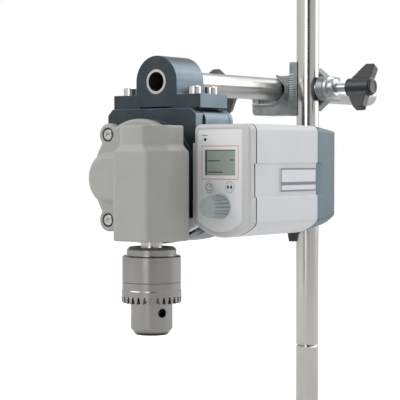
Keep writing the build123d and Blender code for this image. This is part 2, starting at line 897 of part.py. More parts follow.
def case_octagon():
    """Eight-sided section of the spindle case, about the spindle's axis, with rounded corners."""
    with BuildSketch() as octagon:
        with BuildLine():
            Polyline(
                (-case_front_half, -case_half_depth),
                (case_front_half, -case_half_depth),
                (case_half_width, -case_side_half),
                (case_half_width, case_side_half),
                (case_front_half, case_half_depth),
                (-case_front_half, case_half_depth),
                (-case_half_width, case_side_half),
                (-case_half_width, -case_side_half),
                close=True,
            )
        make_face()
        fillet(octagon.vertices(), radius=case_edge)
    return octagon.sketch


def neck_octagon():
    """Regular section of the neck above the spindle case, with rounded corners."""
    with BuildSketch() as octagon:
        RegularPolygon(neck_radius, 8, rotation=22.5)
        fillet(octagon.vertices(), radius=case_edge)
    return octagon.sketch


flange_front = case_back - flange_thickness
with BuildPart() as gear_case:
    # round flange and its ears
    with BuildSketch(facing_front(case_back)):
        with Locations((arm_x, motor_z)):
            add(flange_outline(0))
    extrude(amount=flange_thickness)
    fillet(gear_case.faces().sort_by(Axis.Y)[0].edges(), radius=flange_edge)
    # boss round the worm, bevelled in front
    with BuildSketch(facing_front(flange_front)):
        with Locations((arm_x, motor_z)):
            Circle(motor_boss_radius)
        with Locations((arm_x + spindle_offset / 2, motor_z)):
            Rectangle(spindle_offset, 2 * motor_boss_radius)
    extrude(amount=flange_front - head_y + motor_boss_front)
    chamfer(gear_case.faces().sort_by(Axis.Y)[0].edges(), length=motor_boss_bevel)
    # spindle case, its shoulder and its neck
    with BuildSketch(spindle_plane(case_bottom)):
        add(case_octagon())
    extrude(amount=case_bottom - case_shoulder)
    with BuildSketch(spindle_plane(case_shoulder)):
        add(case_octagon())
    with BuildSketch(spindle_plane(case_bevel_top)):
        add(neck_octagon())
    loft()
    with BuildSketch(spindle_plane(case_bevel_top)):
        add(neck_octagon())
    extrude(amount=case_bevel_top - neck_top)
    # bores for the worm, the wheel and the bearings
    with BuildSketch(motor_axis_plane(0)):
        Circle(worm_tunnel_diameter / 2)
    extrude(amount=-worm_end - grip, mode=Mode.SUBTRACT)
    with BuildSketch(motor_axis_plane(0)):
        Circle(worm_bearing_diameter / 2)
    extrude(amount=-worm_end - grip - worm_bearing_width - grip, mode=Mode.SUBTRACT)
    with BuildSketch(spindle_plane(case_bottom)):
        Circle(wheel_cavity_diameter / 2)
    extrude(amount=case_bottom - wheel_cavity_top, mode=Mode.SUBTRACT)
    with BuildSketch(spindle_plane(wheel_cavity_top)):
        Circle(spindle_bearing_diameter / 2)
    extrude(amount=wheel_cavity_top - upper_bearing_top, mode=Mode.SUBTRACT)
    # counterbored screw holes on the left, tapped holes behind the spindle case on the right
    with BuildSketch(facing_front(flange_front)):
        with Locations(*[(arm_x + x, motor_z + z) for x, z in ear_places]):
            Circle(m4_counterbore / 2)
    extrude(amount=-m4_head_height, mode=Mode.SUBTRACT)
    with BuildSketch(facing_front(case_back)):
        with Locations(*[(arm_x + x, motor_z + z) for x, z in ear_places]):
            Circle(m4_diameter / 2 + running)
    extrude(amount=flange_thickness - m4_head_height, mode=Mode.SUBTRACT)
    with BuildSketch(facing_front(case_back)):
        with Locations(*[(arm_x + x, motor_z + z) for x, z in stud_places]):
            Circle(m4_diameter / 2)
    extrude(amount=flange_thickness + stud_grip, mode=Mode.SUBTRACT)
gear_case.part.label = "gear_case"

head_plane_y = flange_front + m4_head_height
stud_length = head_y + plate_depth - flange_front + stud_grip
with BuildPart() as case_screws:
    for x, z in ear_places:
        front = forward_from(arm_x + x, head_plane_y, motor_z + z)
        add(cap_screw(front, m4_diameter, m4_head_diameter, m4_head_height, m4_hex, m4_length).part)
    for x, z in stud_places:
        stud = forward_from(arm_x + x, head_y + plate_depth, motor_z + z)
        add(turned(stud, (0, 0), (m4_diameter / 2, 0), (m4_diameter / 2, stud_length), (0, stud_length)).part)
case_screws.part.label = "case_screws"

with BuildPart() as screw_seals:
    for x, z in ear_places:
        seat = forward_from(arm_x + x, head_plane_y, motor_z + z)
        add(ring(seat, m4_head_diameter, m4_counterbore, m4_head_height - seal_recess).part)
screw_seals.part.label = "screw_seals"

with BuildPart() as spindle_bearings:
    for top in (upper_bearing_top, lower_bearing_top):
        bearing = ring(
            spindle_plane(top + spindle_bearing_width),
            spindle_bearing_bore + 2 * running,
            spindle_bearing_diameter,
            spindle_bearing_width,
        )
        add(bearing.part)
spindle_bearings.part.label = "spindle_bearings"

# heights in the bearing cap are up from its outer face
cap_seat = case_bottom - lower_bearing_top - spindle_bearing_width
cap_height = case_bottom - cap_insert_top
bearing_cap = turned(
    spindle_plane(case_bottom),
    (seal_diameter / 2, 0),
    (wheel_cavity_diameter / 2 - cap_chamfer, 0),
    (wheel_cavity_diameter / 2, cap_chamfer),
    (wheel_cavity_diameter / 2, cap_height),
    (spindle_bearing_diameter / 2, cap_height),
    (spindle_bearing_diameter / 2, cap_seat),
    (seal_diameter / 2 - seal_lip, cap_seat),
    (seal_diameter / 2 - seal_lip, seal_width),
    (seal_diameter / 2, seal_width),
)
bearing_cap.part.label = "bearing_cap"

spindle_seal = ring(spindle_plane(case_bottom), spindle_diameter + 2 * running, seal_diameter, seal_width)
spindle_seal.part.label = "spindle_seal"


# ======== spindle ========
spindle_end = chuck_top + chuck_thread_length
spindle_collar = lower_bearing_top + spindle_bearing_width + running
spindle_shaft = turned(
    spindle_plane(0),
    (0, -spindle_end),
    (chuck_thread_diameter / 2, -spindle_end),
    (chuck_thread_diameter / 2, -chuck_top),
    (spindle_diameter / 2, -chuck_top),
    (spindle_diameter / 2, -spindle_collar),
    (spindle_bearing_bore / 2, -spindle_collar),
    (spindle_bearing_bore / 2, -upper_bearing_top - grip),
    (0, -upper_bearing_top - grip),
)
spindle_shaft.part.label = "spindle_shaft"

with BuildPart() as worm_wheel:
    wheel_plane = spindle_plane(motor_drop + wheel_width / 2)
    add(toothed_roll(wheel_plane, wheel_teeth, wheel_pitch_diameter, wheel_helix, wheel_width, False))
    with BuildSketch(wheel_plane):
        Circle(spindle_bearing_bore / 2)
    extrude(amount=wheel_width, mode=Mode.SUBTRACT)
worm_wheel.part.label = "worm_wheel"


# ======== keyed chuck, heights up from the nose face ========
chuck_plane = up_from(spindle_x, spindle_y, chuck_z)


def chuck_direction(azimuth):
    """Unit vector across the chuck, by its azimuth from -Y towards +X."""
    turn = math.radians(azimuth)
    return Vector(math.sin(turn), -math.cos(turn), 0)


def jaw_plane(azimuth, height=0.0):
    """Plane across a jaw's slanted axis where that axis has this height; normal up along the jaw."""
    outward = chuck_direction(azimuth)
    slant = math.radians(jaw_angle)
    centre = Vector(spindle_x, spindle_y, chuck_z + height) + outward * (jaw_nose_radius + height * math.tan(slant))
    return Plane(
        origin=centre,
        x_dir=Vector(-outward.Y, outward.X, 0),
        z_dir=outward * math.sin(slant) + Vector(0, 0, math.cos(slant)),
    )


key_azimuths = [key_hole_azimuth + 120 * i for i in range(3)]
jaw_azimuths = [azimuth - 60 for azimuth in key_azimuths]
jaw_bore = jaw_diameter / 2 + running
jaw_top = nut_bottom + nut_height + 2.0
cap_start = chuck_length - chuck_cap_height
barrel_radius = nut_outer_radius - running

chuck_body_blank = turned(
    chuck_plane,
    (0, 0),
    (chuck_nose_tip_radius, 0),
    (chuck_core_radius, chuck_nose_chamfer),
    (chuck_core_radius, nut_bottom - running),
    (groove_radius, nut_bottom + 1.0),
    (groove_radius, groove_top),
    (barrel_radius, groove_top),
    (barrel_radius, cap_start + grip),
    (chuck_cap_radius, cap_start + grip),
    (chuck_cap_radius, chuck_length - 1.6),
    (chuck_cap_radius - 1.6, chuck_length),
    (0, chuck_length),
)
with BuildPart() as chuck_body:
    add(chuck_body_blank.part)
    with BuildSketch(chuck_plane):
        Circle(socket_diameter / 2)
    extrude(amount=socket_depth, mode=Mode.SUBTRACT)
    with BuildSketch(chuck_plane.offset(chuck_length)):
        Circle(chuck_thread_diameter / 2)
    extrude(amount=-chuck_thread_length, mode=Mode.SUBTRACT)
    for azimuth in jaw_azimuths:
        with BuildSketch(jaw_plane(azimuth, -4.0)):
            Circle(jaw_bore)
        extrude(amount=jaw_length + 8.0, mode=Mode.SUBTRACT)
    for azimuth in key_azimuths:
        outward = chuck_direction(azimuth)
        rim = Vector(spindle_x, spindle_y, chuck_z + key_hole_height) + outward * (chuck_core_radius + 1.0)
        with BuildSketch(Plane(origin=rim, z_dir=outward)):
            Circle(key_hole_diameter / 2)
        extrude(amount=-key_hole_depth - 1.0, mode=Mode.SUBTRACT)
chuck_body.part.label = "chuck_body"

chuck_sleeve_blank = turned(
    chuck_plane,
    (chuck_core_radius + running, sleeve_bottom),
    (sleeve_radius - 0.5, sleeve_bottom),
    (sleeve_radius, sleeve_bottom + 0.5),
    (sleeve_radius, sleeve_step - 0.5),
    (sleeve_upper_radius, sleeve_step),
    (sleeve_upper_radius, sleeve_seam),
    (sleeve_upper_radius - 0.3, sleeve_seam + 0.15),
    (sleeve_upper_radius - 0.3, sleeve_seam + 0.35),
    (sleeve_upper_radius, sleeve_seam + 0.5),
    (sleeve_upper_radius, cap_start - 0.8),
    (sleeve_upper_radius - 0.8, cap_start),
    (nut_outer_radius, cap_start),
    (nut_outer_radius, nut_bottom),
    (chuck_core_radius + running, nut_bottom),
)
with BuildPart() as chuck_sleeve:
    add(chuck_sleeve_blank.part)
    for i in range(tooth_count):
        outward = chuck_direction(key_hole_azimuth + 360 * (i + 0.5) / tooth_count)
        centre = Vector(spindle_x, spindle_y, chuck_z + sleeve_bottom)
        across = Vector(-outward.Y, outward.X, 0)
        with BuildSketch(Plane(origin=centre + outward * (chuck_core_radius - 0.5), x_dir=across, z_dir=outward)):
            with BuildLine():
                Polyline(
                    (-tooth_gap_mouth / 2, 0),
                    (tooth_gap_mouth / 2, 0),
                    (tooth_gap_root / 2, tooth_depth),
                    (-tooth_gap_root / 2, tooth_depth),
                    close=True,
                )
            make_face()
        extrude(amount=sleeve_radius - chuck_core_radius + 1.0, mode=Mode.SUBTRACT)
chuck_sleeve.part.label = "chuck_sleeve"

# the nut's bore is a cone that follows the outsides of the slanted jaws
slant = math.radians(jaw_angle)


def nut_bore(height):
    """Bore radius of the nut at a height, just outside the jaws."""
    return jaw_nose_radius + height * math.tan(slant) + jaw_diameter / 2 / math.cos(slant) + grip


chuck_nut = turned(
    chuck_plane,
    (nut_bore(nut_bottom), nut_bottom),
    (nut_outer_radius, nut_bottom),
    (nut_outer_radius, nut_bottom + nut_height),
    (nut_bore(nut_bottom + nut_height), nut_bottom + nut_height),
)
chuck_nut.part.label = "chuck_nut"

jaw_face = socket_diameter / 2 + jaw_open_margin
chuck_jaws = []
for number, azimuth in enumerate(jaw_azimuths, start=1):
    outward = chuck_direction(azimuth)
    across = Vector(-outward.Y, outward.X, 0)
    flare = chuck_core_radius
    with BuildPart() as jaw:
        with BuildSketch(jaw_plane(azimuth, -4.0)):
            Circle(jaw_diameter / 2)
        extrude(amount=jaw_length + 4.0)
        # keep the wedge behind the gripping face, between the nose face and the jaw's top
        with BuildSketch(Plane(origin=chuck_plane.origin + Vector(0, 0, free), x_dir=outward, z_dir=(0, 0, 1))):
            with BuildLine():
                Polyline(
                    (jaw_face, -jaw_land / 2),
                    (jaw_face + flare, -jaw_land / 2 - flare * math.sqrt(3)),
                    (jaw_face + flare, jaw_land / 2 + flare * math.sqrt(3)),
                    (jaw_face, jaw_land / 2),
                    close=True,
                )
            make_face()
        extrude(amount=jaw_top, mode=Mode.INTERSECT)
    jaw.part.label = f"chuck_jaw_{number}"
    chuck_jaws.append(jaw)


# ======== control box ========
box_mid_x = (box_left + box_right) / 2


def box_outline(inset, low_inset=0.0):
    """Outline of the control box in X and Z about the arm's axis, level on top and bowed below."""
    left, right = box_left + inset, box_right - inset
    side_bottom = -box_side_bottom + inset + low_inset
    with BuildSketch() as outline:
        with BuildLine():
            Polyline((left, side_bottom), (left, -box_top - inset), (right, -box_top - inset), (right, side_bottom))
            ThreePointArc((right, side_bottom), (box_mid_x, -box_arc_bottom + inset + low_inset), (left, side_bottom))
        make_face()
        fillet(outline.vertices(), radius=max(box_corner - inset, 1.0))
    return outline.sketch


def box_sketch_place(ahead):
    """Plane of the control box's outlines, this far ahead of the head's front face."""
    return Plane(origin=(arm_x, head_y - ahead, arm_z), x_dir=(1, 0, 0), z_dir=(0, -1, 0))


def panel_outline(inset):
    """Outline of the panel overlay, or of its pocket with a negative inset."""
    left, right = overlay_left + inset, overlay_right - inset
    with BuildSketch() as outline:
        with BuildLine():
            Polyline(
                (left, -overlay_side_bottom),
                (left, -overlay_top - inset),
                (right, -overlay_top - inset),
                (right, -overlay_side_bottom),
            )
            ThreePointArc(
                (right, -overlay_side_bottom),
                ((left + right) / 2, -overlay_arc_bottom + inset),
                (left, -overlay_side_bottom),
            )
        make_face()
        fillet(outline.vertices(), radius=overlay_corner)
    return outline.sketch


window_height = window_bottom - window_top
window_centre = (window_left + window_width / 2, -(window_top + window_bottom) / 2)
key_places = [(box_left + x, -drop) for x, drop in key_centres]
dial_place = (dial_x, -dial_drop)
led_place = (led_x, -led_drop)
pocket_depth = overlay_thickness + overlay_sink
encoder_neck = encoder_shaft_diameter + 3.0
band_middle = -(band_top + band_bottom) / 2
band_height = band_bottom - band_top
bezel_inside = box_front - pocket_depth - box_wall

with BuildPart() as box_bezel:
    with BuildSketch(box_sketch_place(box_front)):
        add(box_outline(0))
    extrude(amount=box_seam - box_front)
    fillet(box_bezel.faces().sort_by(Axis.Y)[0].edges(), radius=2.0)
    with BuildSketch(box_sketch_place(bezel_inside)):
        add(box_outline(box_wall))
    extrude(amount=box_seam - bezel_inside, mode=Mode.SUBTRACT)
    with BuildSketch(box_sketch_place(box_front)):
        add(panel_outline(-grip))
    extrude(amount=-pocket_depth, mode=Mode.SUBTRACT)
    with BuildSketch(box_sketch_place(box_front)):
        with Locations(window_centre):
            Rectangle(window_width - 2, window_height - 2)
        with Locations(*key_places):
            Circle(key_stem_diameter / 2 + free)
        with Locations(dial_place):
            Circle(encoder_neck / 2)
        with Locations(led_place):
            Circle(led_diameter / 2)
    extrude(amount=bezel_inside - box_front, mode=Mode.SUBTRACT)
    with BuildSketch(box_sketch_place(box_seam)):
        with Locations((box_right, band_middle)):
            Rectangle(2 * band_depth, band_height)
    extrude(amount=box_front - box_seam - 3.0, mode=Mode.SUBTRACT)
box_bezel.part.label = "box_bezel"

with BuildPart() as box_cover:
    with BuildSketch(box_sketch_place(box_seam)):
        add(box_outline(0))
        add(box_outline(box_wall), mode=Mode.SUBTRACT)
    extrude(amount=-box_cover_back - box_seam)
    with BuildSketch(box_sketch_place(box_seam)):
        with Locations((box_right, band_middle)):
            Rectangle(2 * band_depth, band_height)
    extrude(amount=-box_cover_back - box_seam, mode=Mode.SUBTRACT)
box_cover.part.label = "box_cover"

gland_plane = up_from(arm_x + gland_x, head_y + gland_back, arm_z - gland_seat)
gland_boss_height = gland_seat - box_side_bottom + box_wall
rear_plane = box_sketch_place(-box_cover_back)
back_plane = box_sketch_place(-box_back)
with BuildPart() as box_rear_cover:
    with BuildSketch(rear_plane):
        add(box_outline(0))
    with BuildSketch(back_plane):
        add(box_outline(rear_inset))
    loft()
    fillet(box_rear_cover.faces().sort_by(Axis.Y)[-1].edges(), radius=1.5)
    with BuildSketch(rear_plane):
        add(box_outline(box_wall + rear_inset))
    extrude(amount=box_cover_back - box_back + box_wall, mode=Mode.SUBTRACT)
    with BuildSketch(rear_plane):
        with Locations((box_right, band_middle)):
            Rectangle(2 * band_depth, band_height)
    extrude(amount=box_cover_back - band_end, mode=Mode.SUBTRACT)
    with BuildSketch(back_plane):
        with Locations((switch_x, -switch_drop)):
            Rectangle(switch_width - 2, switch_height - 2)
    extrude(amount=box_wall, mode=Mode.SUBTRACT)
    # flat boss under the cover for the cable gland
    with BuildSketch(gland_plane):
        Circle(gland_diameter / 2 + 1.0)
    extrude(amount=gland_boss_height)
    with BuildSketch(gland_plane):
        Circle(gland_neck_diameter / 2)
    extrude(amount=gland_boss_height, mode=Mode.SUBTRACT)
box_rear_cover.part.label = "box_rear_cover"


# ---- panel on the bezel ----
pocket_floor = box_front - pocket_depth
with BuildPart() as panel_overlay:
    with BuildSketch(box_sketch_place(pocket_floor)):
        add(panel_outline(0))
        with Locations(window_centre):
            Rectangle(window_width + 2 * grip, window_height + 2 * grip, mode=Mode.SUBTRACT)
        with Locations(*key_places):
            Circle(key_diameter / 2 + free, mode=Mode.SUBTRACT)
        with Locations(dial_place):
            Circle(encoder_neck / 2, mode=Mode.SUBTRACT)
        with Locations(led_place):
            Circle(led_diameter / 2, mode=Mode.SUBTRACT)
    extrude(amount=overlay_thickness)
panel_overlay.part.label = "panel_overlay"

with BuildPart() as lcd_window:
    with BuildSketch(box_sketch_place(pocket_floor)):
        with Locations(window_centre):
            Rectangle(window_width, window_height)
    extrude(amount=overlay_thickness - window_sink)
lcd_window.part.label = "lcd_window"

with BuildPart() as lcd_module:
    with BuildSketch(box_sketch_place(bezel_inside)):
        with Locations(window_centre):
            Rectangle(window_width + 4, window_height + 6)
    extrude(amount=-module_thickness)
    with BuildSketch(box_sketch_place(bezel_inside)):
        with Locations(window_centre):
            Rectangle(window_width - 2 - 2 * grip, window_height - 2 - 2 * grip)
    extrude(amount=box_wall)
lcd_module.part.label = "lcd_module"

board_front = bezel_inside - board_gap
with BuildPart() as control_board:
    with BuildSketch(box_sketch_place(board_front)):
        add(box_outline(box_wall + 1.0, 6.0))
    extrude(amount=-board_thickness)
    # spacer pillars between the bezel and the board
    with BuildSketch(box_sketch_place(board_front)):
        for x in (box_left + box_wall + 4.0, box_right - box_wall - 4.0):
            with Locations((x, -box_top - box_wall - 3.0), (x, -box_side_bottom + 12.0)):
                Circle(2.5)
    extrude(amount=board_gap)
control_board.part.label = "control_board"

with BuildPart() as status_led:
    with BuildSketch(box_sketch_place(board_front)):
        with Locations(led_place):
            Circle(led_diameter / 2)
    extrude(amount=box_front - board_front - overlay_sink)
status_led.part.label = "status_led"

panel_keys = []
for name, place in zip(("key_left", "key_right"), key_places):
    with BuildPart() as key:
        with BuildSketch(box_sketch_place(pocket_floor + key_travel + grip)):
            with Locations(place):
                Circle(key_diameter / 2)
        extrude(amount=overlay_thickness + key_rise - key_travel - grip)
        chamfer(key.edges().sort_by(Axis.Y)[0], length=0.2)
        with BuildSketch(box_sketch_place(board_front + key_travel + grip)):
            with Locations(place):
                Circle(key_stem_diameter / 2)
        extrude(amount=pocket_floor - board_front)
    key.part.label = name
    panel_keys.append(key)

dial_gap = 0.4
dial_start = box_front - overlay_sink + dial_gap
dial_plane = forward_from(arm_x + dial_x, head_y - dial_start, arm_z - dial_drop)
encoder_reach = 8.0
with BuildPart() as speed_dial:
    with BuildSketch(dial_plane):
        Circle(dial_base_diameter / 2)
    with BuildSketch(dial_plane.offset(dial_length)):
        Circle(dial_front_diameter / 2)
    loft()
    chamfer(speed_dial.edges().sort_by(Axis.Y)[0], length=0.8)
    with BuildSketch(dial_plane.offset(2.0)):
        with PolarLocations(dial_base_diameter / 2 + 0.35, dial_flutes, start_angle=360 / dial_flutes / 2):
            Circle(1.0)
    extrude(amount=dial_length, mode=Mode.SUBTRACT)
    with BuildSketch(dial_plane):
        Circle(encoder_shaft_diameter / 2)
    extrude(amount=encoder_reach, mode=Mode.SUBTRACT)
speed_dial.part.label = "speed_dial"

dial_spindle = turned(
    dial_plane,
    (0, board_front + 2.0 - dial_start),
    (encoder_shaft_diameter / 2, board_front + 2.0 - dial_start),
    (encoder_shaft_diameter / 2, encoder_reach),
    (0, encoder_reach),
)
dial_spindle.part.label = "dial_spindle"

with BuildPart() as dial_encoder:
    with BuildSketch(box_sketch_place(board_front)):
        with Locations(dial_place):
            Rectangle(encoder_width, encoder_width)
    extrude(amount=bezel_inside - board_front)
    with BuildSketch(box_sketch_place(bezel_inside)):
        with Locations(dial_place):
            Circle(encoder_neck / 2)
    extrude(amount=dial_start - dial_gap - bezel_inside)
    with BuildSketch(box_sketch_place(board_front + 2.0)):
        with Locations(dial_place):
            Circle(encoder_shaft_diameter / 2 + running)
    extrude(amount=dial_start - board_front, mode=Mode.SUBTRACT)
dial_encoder.part.label = "dial_encoder"

# ---- rear of the control box ----
with BuildPart() as name_plate:
    with BuildSketch(facing_right(arm_x + box_right - band_depth)):
        with Locations(
            (head_y + (name_plate_front + name_plate_back) / 2, arm_z - (name_plate_top + name_plate_bottom) / 2)
        ):
            Rectangle(name_plate_back - name_plate_front, name_plate_bottom - name_plate_top)
    extrude(amount=name_plate_thickness)
name_plate.part.label = "name_plate"

switch_place = (switch_x, -switch_drop)
with BuildPart() as switch_frame:
    with BuildSketch(back_plane):
        with Locations(switch_place):
            Rectangle(switch_width, switch_height)
    extrude(amount=-1.2)
    with BuildSketch(back_plane):
        with Locations(switch_place):
            Rectangle(switch_width - 2 - 2 * grip, switch_height - 2 - 2 * grip)
    extrude(amount=10.0)
    with BuildSketch(back_plane.offset(-1.2)):
        with Locations(switch_place):
            Rectangle(rocker_width + 2 * free, rocker_height + 2 * free)
    extrude(amount=7.2, mode=Mode.SUBTRACT)
    with BuildSketch(facing_right(arm_x + switch_x - rocker_width / 2 - rocker_pivot_length)):
        with Locations((head_y + box_back - rocker_pivot_depth, arm_z - switch_drop)):
            Circle(rocker_pivot_diameter / 2 + running)
    extrude(amount=rocker_width + 2 * rocker_pivot_length, mode=Mode.SUBTRACT)
switch_frame.part.label = "switch_frame"

# rocker drawn at its off position, turned about its pivot behind the frame's face
rocker_turn = math.radians(rocker_angle)
rocker_plane = Plane(
    origin=(arm_x + switch_x - rocker_width / 2, head_y + box_back - rocker_pivot_depth, arm_z - switch_drop),
    x_dir=(0, math.cos(rocker_turn), -math.sin(rocker_turn)),
    z_dir=(1, 0, 0),
)
rocker_half = rocker_height / 2 - free
rocker_ear = 3.0 + rocker_half * math.tan(rocker_turn)
with BuildPart() as power_rocker:
    with BuildSketch(rocker_plane):
        with BuildLine():
            Polyline(
                (-2.2, -rocker_half * 0.8),
                (1.2, -rocker_half),
                (rocker_ear, -rocker_half),
                (3.0, 0),
                (rocker_ear, rocker_half),
                (1.2, rocker_half),
                (-2.2, rocker_half * 0.8),
                close=True,
            )
        make_face()
    extrude(amount=rocker_width)
    with BuildSketch(rocker_plane.offset(-rocker_pivot_length)):
        Circle(rocker_pivot_diameter / 2)
    extrude(amount=rocker_width + 2 * rocker_pivot_length)
power_rocker.part.label = "power_rocker"

cable_gland = turned(
    gland_plane,
    (0, gland_boss_height),
    (gland_neck_diameter / 2, gland_boss_height),
    (gland_neck_diameter / 2, 0),
    (gland_diameter / 2 + 1.0, 0),
    (gland_diameter / 2 + 1.0, -2.0),
    (gland_diameter / 2, -2.0),
    (gland_diameter / 2 - 1.0, gland_seat - gland_bottom),
    (0, gland_seat - gland_bottom),
)
cable_gland.part.label = "cable_gland"

bracket_right = arm_x + box_left
bracket_left = bracket_right - bracket_width
with BuildPart() as control_bracket:
    # lug on the front plate, bowed below like the plate
    with BuildSketch(facing_front(plate_front)):
        with BuildLine():
            Polyline(
                (bracket_left, arm_z - bracket_bottom),
                (bracket_left, arm_z - bracket_top),
                (bracket_right, arm_z - bracket_top),
                (bracket_right, arm_z - bracket_bottom + bracket_bow),
                close=True,
            )
        make_face()
    extrude(amount=bracket_thickness)
    # side web between the housing and the box
    web_front = plate_front - bracket_thickness
    with BuildSketch(facing_right(arm_x + housing_half)):
        with Locations(((web_front + head_y + spacer_back) / 2, arm_z - (spacer_top + bracket_top) / 2)):
            Rectangle(head_y + spacer_back - web_front, bracket_top - spacer_top)
    extrude(amount=box_gap)
control_bracket.part.label = "control_bracket"


pieces = [
    rod_lower,
    rod_upper,
    clamp_body,
    *clamp_pieces,
    support_arm,
    arm_end_plug,
    arm_holder,
    holder_screws,
    arm_set_screw,
    housing_plate,
    motor_housing,
    housing_cover,
    cover_screws,
    motor_stator,
    motor_bearings,
    rotor_shaft,
    rotor_magnet,
    worm_bearing,
    gear_case,
    case_screws,
    screw_seals,
    spindle_bearings,
    bearing_cap,
    spindle_seal,
    spindle_shaft,
    worm_wheel,
    chuck_body,
    chuck_sleeve,
    chuck_nut,
    *chuck_jaws,
    control_bracket,
    box_bezel,
    box_cover,
    box_rear_cover,
    panel_overlay,
    lcd_window,
    lcd_module,
    control_board,
    status_led,
    *panel_keys,
    speed_dial,
    dial_spindle,
    dial_encoder,
    name_plate,
    switch_frame,
    power_rocker,
    cable_gland,
]
os.makedirs("parts", exist_ok=True)
for piece in pieces:
    export_step(piece.part, f"parts/{piece.part.label}.step")
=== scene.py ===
import json
import math

import bmesh
import bpy
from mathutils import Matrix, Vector


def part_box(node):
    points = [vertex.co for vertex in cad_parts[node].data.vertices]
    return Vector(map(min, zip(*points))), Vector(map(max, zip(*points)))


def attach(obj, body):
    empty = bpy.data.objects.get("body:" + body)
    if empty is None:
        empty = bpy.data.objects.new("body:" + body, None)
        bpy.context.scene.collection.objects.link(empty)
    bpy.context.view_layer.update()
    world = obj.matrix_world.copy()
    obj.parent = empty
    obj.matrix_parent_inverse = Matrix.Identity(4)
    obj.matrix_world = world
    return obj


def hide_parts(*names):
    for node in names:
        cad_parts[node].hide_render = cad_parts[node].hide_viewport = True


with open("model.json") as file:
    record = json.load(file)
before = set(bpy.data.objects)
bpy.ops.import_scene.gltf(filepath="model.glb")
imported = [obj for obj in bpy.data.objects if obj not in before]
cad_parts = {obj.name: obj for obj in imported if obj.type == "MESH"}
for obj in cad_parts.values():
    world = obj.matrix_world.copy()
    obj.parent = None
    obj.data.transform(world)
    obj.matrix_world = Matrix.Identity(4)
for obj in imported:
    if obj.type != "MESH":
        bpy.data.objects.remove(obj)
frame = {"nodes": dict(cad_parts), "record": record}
NODES = frame["nodes"]
BODY_OF = {
    node: body
    for body, nodes in frame["record"]["behaviour"]["bodies"].items()
    for node in nodes
}
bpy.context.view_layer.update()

bl_info = {
    "name": "Overhead Stirrer",
    "version": (1, 0, 0),
    "blender": (4, 5, 0),
    "location": "View3D > Sidebar > Stirrer",
    "description": "Dresses an overhead laboratory stirrer with its finishes and fine detail",
    "category": "Object",
}

MM = 0.001


# ---- sizes and colours a user may change ----

class StirrerSizes(bpy.types.PropertyGroup):
    """Sizes of the fine detail, in metres."""

    edge_break: bpy.props.FloatProperty(
        name="Edge break",
        description="Radius on the edges of milled and turned metal",
        default=0.45 * MM, min=0.0, unit="LENGTH", subtype="DISTANCE",
    )
    moulded_edge: bpy.props.FloatProperty(
        name="Moulded edge",
        description="Radius on the edges of the control box's mouldings",
        default=0.6 * MM, min=0.0, unit="LENGTH", subtype="DISTANCE",
    )
    bezel_edge: bpy.props.FloatProperty(
        name="Bezel edge",
        description="Radius round the front of the control box",
        default=2.2 * MM, min=0.0, unit="LENGTH", subtype="DISTANCE",
    )
    casting_grain: bpy.props.FloatProperty(
        name="Casting grain",
        description="Size of the grid that rounds the painted casting",
        default=0.7 * MM, min=0.3 * MM, unit="LENGTH", subtype="DISTANCE",
    )
    print_height: bpy.props.FloatProperty(
        name="Print height",
        description="Height of printed marks above their film",
        default=0.04 * MM, min=0.0, unit="LENGTH", subtype="DISTANCE",
    )


class StirrerColours(bpy.types.PropertyGroup):
    """Colours of the finishes."""

    casting: bpy.props.FloatVectorProperty(
        name="Painted casting", description="Warm light grey paint of the gear case",
        default=(0.418, 0.414, 0.394), size=3, min=0.0, max=1.0, subtype="COLOR",
    )
    anodised: bpy.props.FloatVectorProperty(
        name="Anodised metal", description="Dark blue-grey of the holder and motor housing",
        default=(0.104, 0.138, 0.160), size=3, min=0.0, max=1.0, subtype="COLOR",
    )
    box: bpy.props.FloatVectorProperty(
        name="Control box", description="Cool off-white of the moulded box",
        default=(0.76, 0.78, 0.805), size=3, min=0.0, max=1.0, subtype="COLOR",
    )
    bezel: bpy.props.FloatVectorProperty(
        name="Bezel", description="Warmer grey of the box's front moulding",
        default=(0.63, 0.633, 0.635), size=3, min=0.0, max=1.0, subtype="COLOR",
    )
    rear_cover: bpy.props.FloatVectorProperty(
        name="Rear cover", description="Blue-grey of the box's rear cover",
        default=(0.118, 0.180, 0.214), size=3, min=0.0, max=1.0, subtype="COLOR",
    )
    film: bpy.props.FloatVectorProperty(
        name="Panel film", description="Pale grey of the printed panel",
        default=(0.85, 0.865, 0.87), size=3, min=0.0, max=1.0, subtype="COLOR",
    )
    knob: bpy.props.FloatVectorProperty(
        name="Wing knobs", description="Near black of the wing knobs",
        default=(0.023, 0.025, 0.029), size=3, min=0.0, max=1.0, subtype="COLOR",
    )


def sizes():
    return bpy.context.scene.stirrer_sizes


def colours():
    return bpy.context.scene.stirrer_colours


# ---- finishes ----

def add_node(owner, kind, **settings):
    """Node in a material's or a world's tree."""
    node = owner.node_tree.nodes.new(kind)
    for key, value in settings.items():
        setattr(node, key, value)
    return node


def join(owner, source, target):
    owner.node_tree.links.new(source, target)


def principled(material):
    return material.node_tree.nodes["Principled BSDF"]


def new_finish(name, colour, metallic=0.0, roughness=0.5, specular=0.5):
    """Material with a Principled shader whose even values are set on its own sockets."""
    material = bpy.data.materials.new(name)
    material.use_nodes = True
    sockets = principled(material).inputs
    sockets["Base Color"].default_value = (*colour, 1.0)
    sockets["Metallic"].default_value = metallic
    sockets["Roughness"].default_value = roughness
    sockets["Specular IOR Level"].default_value = specular
    return material


